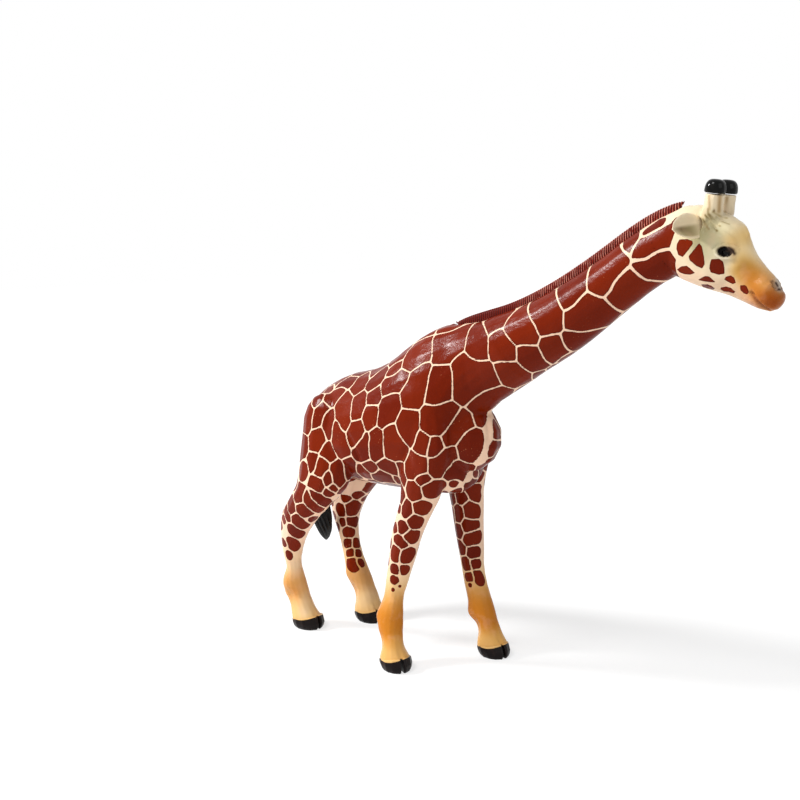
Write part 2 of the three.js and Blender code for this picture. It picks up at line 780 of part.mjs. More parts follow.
// The slot between the two toes. A full cut parts the hooves; in the foot it only notches the front.
function cleft(name, behindShare) {
  const reach = hoofReach + 2 * cutOverrun;
  const slot = new THREE.BoxGeometry(reach, cleftWidth, cleftTopHeight + cutOverrun);
  slot.translate(reach * behindShare, 0, (cleftTopHeight - cutOverrun) / 2);
  slot.rotateZ(THREE.MathUtils.degToRad(stance[name].heading));
  return solidOf(slot.translate(stance[name].forward, stance[name].side, 0));
}

// The pieces, cut from the whole animal along its seams
const legNames = Object.keys(stance);
const legs = Object.fromEntries(legNames.map((name) => [name, legSolid(name)]));
const seamHeight = bellyHeight - legSeamDrop;
const seamPoint = new THREE.Vector3(0, 0, seamHeight);
const down = up.clone().negate();

const neckSeamShare = 0.5; // of the way from the neck's first row to its second
const headSeamShares = [0.955, -0.07]; // along the neck's chord and above it
const neckSeam = trunkSection(torsoShares.length + neckSeamShare).centre;
const headSeam = neckPoint(...headSeamShares);

const brows = [-1, 1].map(browSolid).reduce((a, b) => a.add(b));
const whole = legNames.reduce(
  (solid, name) => solid.add(legs[name]),
  trunkSolid().add(headSolid()).add(brows),
);
const upper = beyond(whole, up, seamPoint, glueGap / 2);
const neckBack = neckDirection.clone().negate();

function makeTorso() {
  let torso = beyond(upper, neckBack, neckSeam, glueGap / 2).subtract(maneGroove());
  for (const name of legNames) {
    torso = torso.subtract(peg(legSeamPoint(name), up, legPegDiameter, legPegLength, glueGap));
  }
  torso = torso.subtract(peg(neckSeam, neckBack, neckPegDiameter, neckPegLength, glueGap));
  return torso.subtract(tailStem(glueGap));
}

function makeNeck() {
  const ahead = beyond(upper, neckDirection, neckSeam, glueGap / 2);
  const between = beyond(ahead, neckBack, headSeam, glueGap / 2);
  const socket = peg(headSeam, neckBack, headPegDiameter, headPegLength, glueGap);
  const plug = peg(neckSeam, neckBack, neckPegDiameter, neckPegLength);
  return between.subtract(maneGroove()).subtract(socket).add(plug);
}

function makeHead() {
  let head = beyond(upper, neckDirection, headSeam, glueGap / 2).subtract(maneGroove()).subtract(mouthCut());
  for (const side of [-1, 1]) {
    head = head.subtract(eyeSolid(side, glueGap)).subtract(nostrilPit(side));
    head = head.subtract(earSolid(side, glueGap)).subtract(ossiconeStem(side, glueGap));
  }
  return head.add(peg(headSeam, neckBack, headPegDiameter, headPegLength));
}

function legSeamPoint(name) {
  const point = legSection(name, seamHeight / legRootHeight).centre;
  return point.setZ(seamHeight);
}

function makeLeg(name) {
  const { normal, middle } = hoofSeam(name);
  const lower = beyond(legs[name], down, seamPoint, glueGap / 2);
  const foot = beyond(lower, normal, middle, glueGap / 2).subtract(cleft(name, 0.5));
  return foot.add(peg(legSeamPoint(name), up, legPegDiameter, legPegLength));
}

// Both hooves of a foot, then the one on the asked side of the cleft.
function makeHoof(name, side) {
  const { normal, middle } = hoofSeam(name);
  const pair = beyond(legs[name], normal.clone().negate(), middle, glueGap / 2).subtract(cleft(name, 0));
  const sideways = left.clone().applyAxisAngle(up, THREE.MathUtils.degToRad(stance[name].heading));
  const stand = new THREE.Vector3(stance[name].forward, stance[name].side, 0);
  return beyond(pair, sideways.multiplyScalar(side), stand);
}

function makeEar(side) {
  return earSolid(side).subtract(earHollow(side));
}

function makeOssicone(side) {
  const inward = ossiconeAxis(side).negate();
  const socket = peg(ossiconeTopPoint(side), inward, capPegDiameter, capPegLength, glueGap);
  return ossiconeStem(side).subtract(socket);
}

function makeCap(side) {
  const plug = peg(ossiconeTopPoint(side), ossiconeAxis(side).negate(), capPegDiameter, capPegLength);
  return ossiconeCap(side).add(plug);
}

function makeTail() {
  const { point, ahead } = tailEnd();
  const stem = beyond(tailStem(), ahead.clone().negate(), point, glueGap / 2);
  return stem.add(peg(point, ahead, tuftPegDiameter, tuftPegLength));
}

function makeTuft() {
  const { point, ahead } = tailEnd();
  const hair = beyond(tuftSolid(), ahead, point, glueGap / 2);
  return hair.subtract(peg(point, ahead, tuftPegDiameter, tuftPegLength, glueGap));
}

// Paint colours as the pieces wear them
const paint = {
  skin: { color: 0x93371f, roughness: 0.42 },
  cream: { color: 0xe6d3b3, roughness: 0.5 },
  mane: { color: 0x6d2418, roughness: 0.45 },
  black: { color: 0x15120f, roughness: 0.3 },
  hoof: { color: 0x1d1613, roughness: 0.4 },
};

const figure = new THREE.Group();

function addPiece(name, solid, finish) {
  const material = new THREE.MeshStandardMaterial({ ...finish, metalness: 0 });
  const piece = new THREE.Mesh(geometryOf(solid), material);
  piece.name = name;
  figure.add(piece);
}

addPiece("torso", makeTorso(), paint.skin);
addPiece("neck", makeNeck(), paint.skin);
addPiece("head", makeHead(), paint.cream);
addPiece("mane", maneSolid(), paint.mane);
for (const name of legNames) {
  const [pair, hand] = name.split("_");
  addPiece(`${pair}_leg_${hand}`, makeLeg(name), paint.skin);
  for (const [place, side] of [["outer", hand === "left" ? 1 : -1], ["inner", hand === "left" ? -1 : 1]]) {
    addPiece(`${pair}_hoof_${hand}_${place}`, makeHoof(name, side), paint.hoof);
  }
}
for (const [hand, side] of [["right", -1], ["left", 1]]) {
  addPiece(`ear_${hand}`, makeEar(side), paint.cream);
  addPiece(`ossicone_${hand}`, makeOssicone(side), paint.cream);
  addPiece(`ossicone_cap_${hand}`, makeCap(side), paint.black);
  addPiece(`eye_${hand}`, eyeSolid(side), paint.black);
}
addPiece("tail", makeTail(), paint.cream);
addPiece("tail_tuft", makeTuft(), paint.black);

// Centre the standing figure's box over the origin.
const middle = new THREE.Box3().setFromObject(figure).getCenter(new THREE.Vector3());
figure.position.set(-middle.x, -middle.y, 0);

export default figure;
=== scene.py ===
# %% [markdown]
# # A moulded toy giraffe, finished in Blender
# The real figure is a rigid animal cast in smooth vinyl, put together from glued pieces and painted by
# hand. The CAD model gives every piece its place and main form. Here the pieces get their flowing skin, the
# net of pale lines between brown patches, the ribbed mane, the eyes, the hooves and the tail's tuft.

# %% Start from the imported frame
import math
import bpy
import numpy as np
from mathutils import Matrix, Vector
from mathutils.bvhtree import BVHTree


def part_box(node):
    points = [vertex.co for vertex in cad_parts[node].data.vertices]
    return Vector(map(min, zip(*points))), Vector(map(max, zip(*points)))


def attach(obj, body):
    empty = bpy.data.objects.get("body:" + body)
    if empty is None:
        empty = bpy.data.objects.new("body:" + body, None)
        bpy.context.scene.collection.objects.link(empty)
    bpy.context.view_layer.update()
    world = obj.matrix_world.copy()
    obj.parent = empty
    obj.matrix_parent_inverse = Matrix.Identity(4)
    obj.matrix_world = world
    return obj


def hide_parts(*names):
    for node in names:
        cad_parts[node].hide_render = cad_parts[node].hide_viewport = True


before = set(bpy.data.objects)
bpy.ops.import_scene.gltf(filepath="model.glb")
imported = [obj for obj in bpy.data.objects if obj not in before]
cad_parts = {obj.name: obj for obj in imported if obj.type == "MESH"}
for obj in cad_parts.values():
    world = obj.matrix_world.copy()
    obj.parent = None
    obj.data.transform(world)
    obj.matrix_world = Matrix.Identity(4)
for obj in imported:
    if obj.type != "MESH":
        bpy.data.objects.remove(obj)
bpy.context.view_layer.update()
mm = 0.001
print("CAD pieces:", len(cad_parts))

# %% [markdown]
# ## Where the animal stands
# The CAD was drawn from the middle of the stance, and then its box was centred over the origin. Two of its
# measures find that middle again: the front left hoof's outer toe and the midplane of the head.

# %% The stance's middle, in millimetres of the frame
toe_ahead = 42.645  # the front left hoof's outer toe starts this far ahead of the middle


def node_box(name):
    """A CAD node's lowest and highest corner, in millimetres."""
    return np.array([list(corner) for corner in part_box(name)]) / mm


stance_middle = np.array([
    node_box("front_hoof_left_outer")[0, 0] - toe_ahead,
    node_box("head")[:, 1].mean(),
    0.0,
])
print("middle of the stance:", stance_middle.round(3))

# %% [markdown]
# ## Two points of view
# The photograph shows the figure twice, from the front right and, smaller, from the rear left. Both cameras
# were worked out from points that show in each view. The scene is taken with the first one. The second one
# only helps to find where the patches of the left side lie.


# %% A point of view
image_size = 800
look_at = stance_middle + [20.0, 0.0, 88.5]


def viewpoint(azimuth, elevation, distance, focal, yaw, pitch, roll):
    """Place and axes of a camera that orbits look_at, then turns by small angles; focal length in pixels.

    The backward axis is (sin a cos e, -cos a cos e, sin e), the right axis is level, and up completes them.
    """
    def backwards(a, e):
        return np.array([math.sin(a) * math.cos(e), -math.cos(a) * math.cos(e), math.sin(e)])

    place = look_at + distance * backwards(math.radians(azimuth), math.radians(elevation))
    turn = math.radians(azimuth + yaw)
    back = backwards(turn, math.radians(elevation + pitch))
    right = np.array([math.cos(turn), math.sin(turn), 0.0])
    upward = np.cross(back, right)
    c, s = math.cos(math.radians(roll)), math.sin(math.radians(roll))
    axes = np.array([c * right + s * upward, c * upward - s * right, back])
    return {"place": place, "axes": axes, "focal": focal}


front_view = viewpoint(41.97567, 9.75101, 430.794, 1128.493, 0.45431, -1.27031, -0.92821)
rear_view = viewpoint(227.00013, 12.85794, 589.627, 1022.023, -12.63382, 3.07528, 6.41609)
print("front view from", front_view["place"].round(1), "and rear view from", rear_view["place"].round(1))


# %% The camera
def in_scene(name, data):
    """A new object with this data, linked to the scene."""
    made = bpy.data.objects.new(name, data)
    bpy.context.scene.collection.objects.link(made)
    return made


camera_data = bpy.data.cameras.new("camera")
camera_data.sensor_width = 36.0
camera_data.lens = front_view["focal"] / image_size * camera_data.sensor_width
camera_data.clip_start = 0.01
camera_data.clip_end = 20.0
camera = in_scene("camera", camera_data)
turned = Matrix([list(row) for row in front_view["axes"].T]).to_4x4()
camera.matrix_world = Matrix.Translation(Vector(front_view["place"] * mm)) @ turned
bpy.context.scene.camera = camera
bpy.context.scene.view_settings.view_transform = "Standard"
print("lens:", round(camera_data.lens, 2), "mm")

# %% [markdown]
# ## Shader maths as plain expressions
# A material is a graph of nodes. Writing each node out takes many lines, so one small class wraps a socket
# and turns the usual operators into Math nodes. Colours go through Mix nodes, which keep their three parts.
# A second class holds the graph itself, and the world and every material are built with it.


# %% A socket that can be calculated with
class Value:
    """A node's output; + - * with numbers or other values add Math nodes."""

    def __init__(self, graph, socket):
        self.graph = graph
        self.socket = socket

    def maths(self, operation, *terms):
        return self.graph.node("ShaderNodeMath", {"operation": operation}, dict(enumerate(terms)))

    def __add__(self, other):
        return self.maths("ADD", self, other)

    def __radd__(self, other):
        return self.maths("ADD", other, self)

    def __sub__(self, other):
        return self.maths("SUBTRACT", self, other)

    def __rsub__(self, other):
        return self.maths("SUBTRACT", other, self)

    def __mul__(self, other):
        return self.maths("MULTIPLY", self, other)

    def __rmul__(self, other):
        return self.maths("MULTIPLY", other, self)

    def or_higher(self, other):
        return self.maths("MAXIMUM", self, other)

    def between(self, low, high):
        """0 below low, 1 above high, and a smooth step between; high may be below low."""
        inputs = {"Value": self, "From Min": low, "From Max": high}
        return self.graph.node("ShaderNodeMapRange", {"interpolation_type": "SMOOTHSTEP"}, inputs)


# %% A graph under construction
class Graph:
    """A node tree; node() adds any node, its settings first and then the values or links of its sockets."""

    def __init__(self, tree):
        self.tree = tree

    def put(self, socket, value):
        if isinstance(value, Value):
            self.tree.links.new(value.socket, socket)
        else:
            socket.default_value = value

    def node(self, kind, settings=None, inputs=None, output=0):
        made = self.tree.nodes.new(kind)
        for name, value in (settings or {}).items():
            setattr(made, name, value)
        for name, value in (inputs or {}).items():
            self.put(made.inputs[name], value)
        return Value(self, made.outputs[output])


# %% A material under construction
class Paint(Graph):
    """A material with its constants; the helpers name the nodes that are used most."""

    def __init__(self, name, **constants):
        self.material = bpy.data.materials.new(name)
        self.material.use_nodes = True
        super().__init__(self.material.node_tree)
        self.shader = self.tree.nodes["Principled BSDF"]
        self.finish(**constants)

    def places(self):
        return self.node("ShaderNodeTexCoord", output="Object")

    def attribute(self, name, output="Fac"):
        return self.node("ShaderNodeAttribute", {"attribute_name": name}, output=output)

    def noise(self, per_metre, detail=3.0, roughness=0.5):
        inputs = {"Vector": self.places(), "Scale": per_metre, "Detail": detail, "Roughness": roughness}
        return self.node("ShaderNodeTexNoise", None, inputs)

    def mix(self, under, over, amount):
        """The colour under, covered by the colour over where amount is 1."""
        return self.node("ShaderNodeMix", {"data_type": "RGBA"}, {0: amount, 6: under, 7: over}, output=2)

    def bump(self, height, distance, strength):
        inputs = {"Height": height, "Distance": distance, "Strength": strength}
        return self.node("ShaderNodeBump", None, inputs)

    def finish(self, **values):
        """Sets or links sockets of the main shader, and returns the material."""
        for name, value in values.items():
            self.put(self.shader.inputs[name.replace("_", " ")], value)
        return self.material


# %% Screen colours
def screen_to_linear(values):
    """Screen values of 0 to 255 as the linear light that shaders take: a power of 2.4 on a straight foot."""
    share = np.clip(np.asarray(values, float) / 255, 0, 1)
    return np.where(share <= 0.04045, share / 12.92, ((share + 0.055) / 1.055) ** 2.4)


def colour(red, green, blue):
    """A screen colour as a socket takes it, with its fourth part for opacity."""
    return (*screen_to_linear((red, green, blue)).tolist(), 1.0)


print("mid grey in linear light:", round(colour(128, 128, 128)[0], 3))

# %% [markdown]
# ## Light
# The figure stands under soft studio light: a wide lamp above and in front, a weaker one from the side, and
# a pale world that fills the shadows. The camera and glossy paint see the world as white, as in a photo
# tent.


# %% World and lamps
def seen_directly(graph):
    """1 for rays from the camera and for those that glossy or clear surfaces send on, 0 for diffuse light."""
    kinds = ("Is Camera Ray", "Is Glossy Ray", "Is Transmission Ray")
    from_camera, glossy, clear = [graph.node("ShaderNodeLightPath", output=kind) for kind in kinds]
    return from_camera.or_higher(glossy).or_higher(clear)


world = bpy.data.worlds.new("studio")
bpy.context.scene.world = world
world.use_nodes = True
sky = Graph(world.node_tree)
sky.tree.nodes.clear()
fill_light, white_tent = [
    sky.node("ShaderNodeBackground", None, {"Color": colour(255, 255, 255), "Strength": strength})
    for strength in (0.34, 1.0)
]
surround = sky.node("ShaderNodeMixShader", None, {0: seen_directly(sky), 1: fill_light, 2: white_tent})
sky.put(sky.tree.nodes.new("ShaderNodeOutputWorld").inputs["Surface"], surround)


def lamp(name, place, size, power):
    """A square soft lamp that faces the figure's middle; places in metres."""
    data = bpy.data.lights.new(name, "AREA")
    data.size = size
    data.energy = power
    made = in_scene(name, data)
    towards = Vector(look_at * mm) - Vector(place)
    made.rotation_euler = towards.to_track_quat("-Z", "Y").to_euler()
    made.location = place
    return made


lamp("key_lamp", (-0.1, -0.65, 1.05), 0.35, 6.0)
lamp("side_lamp", (0.95, -0.15, 0.55), 0.6, 1.6)
print("lamps:", [light.name for light in bpy.data.lights])

# %% [markdown]
# ## Floor
# The photograph's floor fades to pure white, and only a soft shadow is left near the feet. So the pale
# floor is veiled with white light as the camera sees it, a good half under the figure and fully from half a
# metre on.

# %% Floor
floor_reach = 3.0
floor_mesh = bpy.data.meshes.new("floor")
floor_corners = [(x * floor_reach, y * floor_reach, 0) for x, y in ((-1, -1), (1, -1), (1, 1), (-1, 1))]
floor_mesh.from_pydata(floor_corners, [], [(0, 1, 2, 3)])
floor = in_scene("floor", floor_mesh)

pale = Paint("pale_floor", Roughness=0.9, Base_Color=(0.9, 0.9, 0.9, 1.0))
from_middle = pale.node("ShaderNodeVectorMath", {"operation": "LENGTH"}, {0: pale.places()}, output=1)
least_veil = 0.58
veil = seen_directly(pale) * (least_veil + from_middle.between(0.12, 0.5) * (1 - least_veil))
glow = pale.node("ShaderNodeEmission", None, {"Strength": 1.15})
lit_floor = Value(pale, pale.shader.outputs[0])
veiled = pale.node("ShaderNodeMixShader", None, {0: veil, 1: lit_floor, 2: glow})
pale.put(pale.tree.nodes["Material Output"].inputs["Surface"], veiled)
floor_mesh.materials.append(pale.material)
print("floor", 2 * floor_reach, "m wide")

# %% [markdown]
# ## The skin
# Torso, neck, head and legs were cast in separate moulds, but on the finished figure one skin runs over
# them. Modelling that skin as patches would leave steps at the joints. Instead the CAD pieces are swollen
# until they overlap, made one surface of small equal squares by a voxel remesh, and drawn in again. Later
# the skin is cut at the same joints, so every piece keeps its own mesh.


# %% Meshes as arrays
def points_of(mesh):
    """A mesh's points in millimetres."""
    points = np.empty(len(mesh.vertices) * 3, np.float32)
    mesh.vertices.foreach_get("co", points)
    return points.reshape(-1, 3).astype(float) / mm


def faces_of(mesh, sides):
    """The points that each face of a mesh joins; every face has the same number of sides."""
    corners = np.empty(len(mesh.loops), np.int64)
    mesh.loops.foreach_get("vertex_index", corners)
    return corners.reshape(-1, sides)


def point_normals(points, faces):
    """Unit normals at the points: the sum of the faces' cross products of their diagonals or edges."""
    a, b, c, d = faces[:, (0, 1, 2, 3) if faces.shape[1] == 4 else (0, 0, 1, 2)].T
    across = np.cross(points[c] - points[a], points[d] - points[b])
    total = np.zeros_like(points)
    for corner in range(faces.shape[1]):
        for axis in range(3):
            total[:, axis] += np.bincount(faces[:, corner], across[:, axis], len(points))
    return total / np.maximum(np.linalg.norm(total, axis=1, keepdims=True), 1e-12)


def merged_copy(name):
    """Points in millimetres and triangles of a CAD node, with its doubled points merged."""
    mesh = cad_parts[name].data
    points = points_of(mesh)
    _, first, place = np.unique(points.round(3), axis=0, return_index=True, return_inverse=True)
    triangles = place.ravel()[faces_of(mesh, 3)]
    distinct = (triangles != np.roll(triangles, 1, 1)).all(1)
    return points[first], triangles[distinct]


def mesh_from(name, points, faces):
    """A smoothly shaded mesh from points in millimetres and a list of faces."""
    mesh = bpy.data.meshes.new(name)
    mesh.from_pydata((points * mm).tolist(), [], faces)
    mesh.shade_smooth()
    return mesh


print("the head's CAD mesh has", len(merged_copy("head")[0]), "points once its doubles are merged")


# %% Islands and parts of a mesh
def islands(faces, count):
    """For each of count points, the lowest number of a point that it is joined to, spread along the faces."""
    label = np.arange(count)
    while True:
        least = label[faces].min(1)
        spread = label.copy()
        for corner in range(faces.shape[1]):
            np.minimum.at(spread, faces[:, corner], least)
        spread = spread[spread]
        if (spread == label).all():
            return label
        label = spread


def largest_island(faces, count):
    """Which of the faces belong to the island with the most points."""
    label = islands(faces, count)
    names, sizes = np.unique(label, return_counts=True)
    return label[faces[:, 0]] == names[sizes.argmax()]


def part_of(points, faces, chosen):
    """The chosen faces with only the points that they use."""
    used, place = np.unique(faces[chosen], return_inverse=True)
    return points[used], place.reshape(-1, faces.shape[1])


mane_points, mane_faces = merged_copy("mane")
print("islands in the CAD mane:", len(np.unique(islands(mane_faces, len(mane_points)))))


# %% Remesh the CAD pieces to one surface
def remeshed(names, voxel, swell):
    """Points and square faces of the outer surface round the named nodes, swollen and drawn in by swell."""
    all_points, all_faces, count = [], [], 0
    for name in names:
        points, triangles = merged_copy(name)
        all_points.append(points + swell * point_normals(points, triangles))
        all_faces.append(triangles + count)
        count += len(points)
    mesh = mesh_from("lump", np.concatenate(all_points), np.concatenate(all_faces).tolist())
    lump = in_scene("lump", mesh)
    remesh = lump.modifiers.new("squares", "REMESH")
    remesh.mode = "VOXEL"
    remesh.voxel_size = voxel * mm
    remesh.adaptivity = 0.0
    shape = lump.evaluated_get(bpy.context.evaluated_depsgraph_get())
    result = shape.to_mesh()
    points, faces = points_of(result), faces_of(result, 4)
    shape.to_mesh_clear()
    bpy.data.objects.remove(lump)
    bpy.data.meshes.remove(mesh)
    points, faces = part_of(points, faces, largest_island(faces, len(points)))
    return points - swell * point_normals(points, faces), faces


leg_nodes = ["front_leg_right", "front_leg_left", "hind_leg_right", "hind_leg_left"]
horn_nodes = ["ossicone_right", "ossicone_left"]
filling_nodes = ["eye_right", "eye_left", "mane"]  # they fill their sockets, so that the skin has no holes
skin_nodes = ["torso", "neck", "head", *leg_nodes, *horn_nodes, "tail", *filling_nodes]
skin_points, skin_faces = remeshed(skin_nodes, voxel=0.49, swell=0.17)
print("skin:", len(skin_points), "points")

# %% [markdown]
# ## The animal's own directions
# Strokes, cuts and colours are placed along the neck and on the head, so both need a direction and a start.
# The angles and lengths are those of the CAD model.

# %% Neck and head
neck_rise = math.radians(31.5)
neck_length = 100.0
neck_start = stance_middle + [46.0, 0.0, 106.5]
neck_direction = np.array([math.cos(neck_rise), 0.0, math.sin(neck_rise)])
head_droop = math.radians(31.0)
head_length, head_depth, head_width = 41.5, 22.0, 16.4
head_direction = np.array([math.cos(head_droop), 0.0, -math.sin(head_droop)])
head_top = np.array([math.sin(head_droop), 0.0, math.cos(head_droop)])
sideways = np.array([0.0, 1.0, 0.0])
head_base = neck_start + neck_length * neck_direction
head_base = head_base - 0.048 * head_length * head_direction + 0.038 * head_depth * head_top

# Where the pieces part: below a height, and beyond two distances along the neck's direction
leg_seam = node_box("torso")[0, 2] - 0.15
neck_seam = neck_start @ neck_direction + 30.5
head_seam = neck_start @ neck_direction + 95.5


def mirrored(place):
    """The same place on the animal's other side."""
    return place * [1, -1, 1] + [0, 2 * stance_middle[1], 0]


def on_head(along, rise, side):
    """A place on the head, in shares of its length, depth and width."""
    ahead_and_up = along * head_length * head_direction + rise * head_depth * head_top
    return head_base + ahead_and_up + side * head_width * sideways


def ramp(values, low, high):
    """0 at low, 1 at high and a smooth step between."""
    share = np.clip((values - low) / (high - low), 0.0, 1.0)
    return share * share * (3.0 - 2.0 * share)


print("the nose is at", on_head(1, 0, 0).round(1))

# %% [markdown]
# ## Smooth the skin
# The remesh leaves small stairs, and the CAD's facets still show. Each pass of the filter moves a point
# towards its neighbours and then back by a little more, which takes the stairs out but keeps the volume.
# The head, the legs and the tail are thin or carved, so they are smoothed much less than the trunk.


# %% Smooth it without losing volume
def relaxed(points, faces, passes, grip, shrink=0.5, weight=None):
    """Each pass moves a point towards its neighbours' mean by shrink, then away by grip, for the volume."""
    edges = np.concatenate([faces[:, [i, (i + 1) % faces.shape[1]]] for i in range(faces.shape[1])])
    count = np.maximum(np.bincount(edges[:, 0], minlength=len(points)), 1)
    strength = 1.0 if weight is None else weight[:, None]
    for step in range(2 * passes):
        mean = np.stack([np.bincount(edges[:, 0], points[edges[:, 1], k], len(points)) for k in range(3)], 1)
        amount = shrink if step % 2 == 0 else -grip
        points = points + amount * strength * (mean / count[:, None] - points)
    return points


in_head = ramp(skin_points @ neck_direction, head_seam - 4, head_seam + 4)
in_leg = 1 - ramp(skin_points[:, 2], 50, 66)
in_tail = ramp(-skin_points[:, 0], 26 - stance_middle[0], 30 - stance_middle[0])
softness = (1 - 0.88 * in_head) * (1 - 0.85 * in_leg) * (1 - 0.7 * in_tail)
skin_points = relaxed(skin_points, skin_faces, 8, 0.53)
skin_points = relaxed(skin_points, skin_faces, 52, 0.51, weight=softness)
print("smoothed:", skin_points.min(0).round(2), skin_points.max(0).round(2))

# %% [markdown]
# ## Level the crest
# The remesh took the mane in, which leaves a ridge along the neck, and neck and head meet in a notch at the
# nape. On the real casting the crest is one smooth line. So two bridges are laid over the surface as seen
# from above: one lengthwise over the notch, and one across the ridge from flank to flank, a little arched.


# %% A bridge over the notch behind the head
def heights(tree, xs, ys):
    """How high the surface stands at each place x, y, seen from above."""
    sky_height = 400.0
    hits = [tree.ray_cast(Vector((x, y, sky_height)), Vector((0, 0, -1)))[0] for x, y in zip(xs, ys)]
    return np.array([0.0 if hit is None else hit[2] for hit in hits])


strip = 2.9  # half the width of the ridge
notch_start, notch_end, nape_height = 64.3, 73.2, 156
mane_low, mane_high = node_box("mane")
unlevelled = BVHTree.FromPolygons(skin_points.tolist(), skin_faces.tolist())
beside = skin_points[:, 1] - stance_middle[1]
along_x = skin_points[:, 0]

across = np.linspace(-9, 9, 61)
off_ridge = np.abs(across) > strip
banks = []
for x in (notch_start, notch_end):
    bank = heights(unlevelled, np.full(len(across), x), stance_middle[1] + across)
    banks.append(np.interp(across, across[off_ridge], bank[off_ridge]))
near_bank, far_bank = (np.interp(beside, across, bank) for bank in banks)
share = (along_x - notch_start) / (notch_end - notch_start)
bridge = near_bank + share * (far_bank - near_bank)
on_banks = across[(banks[0] > 150) & (banks[1] > 150)]
in_notch = (share > 0) & (share < 1) & (beside > on_banks.min()) & (beside < on_banks.max())
lifted = in_notch & (skin_points[:, 2] > nape_height) & (bridge > skin_points[:, 2])
print("deepest part of the notch:", (bridge - skin_points[:, 2])[lifted].max().round(2), "mm")
skin_points[lifted, 2] = bridge[lifted]

# %% A bridge across the ridge
stations = np.linspace(mane_low[0] - 1, mane_high[0] + 1, 260)
in_bridge = (stations > notch_start) & (stations < notch_end)
sides = []
for y in (-strip, strip):
    side = heights(unlevelled, stations, np.full(len(stations), stance_middle[1] + y))
    ends = [np.interp(y, across, bank) for bank in banks]
    side[in_bridge] = np.interp(stations[in_bridge], [notch_start, notch_end], ends)
    sides.append(side)
right_side, left_side = (np.interp(along_x, stations, side) for side in sides)
level = right_side + (left_side - right_side) * (beside + strip) / (2 * strip)
level += 0.45 * (1 - (beside / strip) ** 2)
on_strip = (np.abs(beside) < strip) & (np.abs(skin_points[:, 2] - level) < 5)
inner = ramp(along_x, mane_low[0] - 1, mane_low[0] + 1)
inner *= 1 - ramp(along_x, mane_high[0] - 1, mane_high[0] + 1)
skin_points[on_strip, 2] += ((level - skin_points[:, 2]) * inner)[on_strip]
print("points levelled under the mane:", int(on_strip.sum()))

# %% Soften the ankles, the nape and the collar beside the mane
ankles = ramp(skin_points[:, 2], 5.6, 7.0) * (1 - ramp(skin_points[:, 2], 11, 14))
skin_points = relaxed(skin_points, skin_faces, 12, 0.5, weight=ankles)
nape = ramp(along_x, notch_start - 4, notch_start) * (1 - ramp(along_x, notch_end + 1, notch_end + 5))
nape *= ramp(skin_points[:, 2], nape_height - 6, nape_height)
skin_points = relaxed(skin_points, skin_faces, 30, 0.42, weight=nape)
collar = inner * (1 - ramp(np.abs(beside), strip, strip + 1.2)) * (np.abs(skin_points[:, 2] - level) < 6)
skin_points = relaxed(skin_points, skin_faces, 8, 0.45, weight=0.7 * collar)
print("top of the nape:", skin_points[nape > 0.5, 2].max().round(2), "mm")

# %% [markdown]
# ## Where the patches lie
# The painter of the real figure left a net of pale lines between brown patches. Each patch was looked up in
# the photograph and noted as a few circles of pixels that fill it, in a row. A ray through each circle's
# middle finds its place on the skin, so the patches sit on the body and not in the picture.

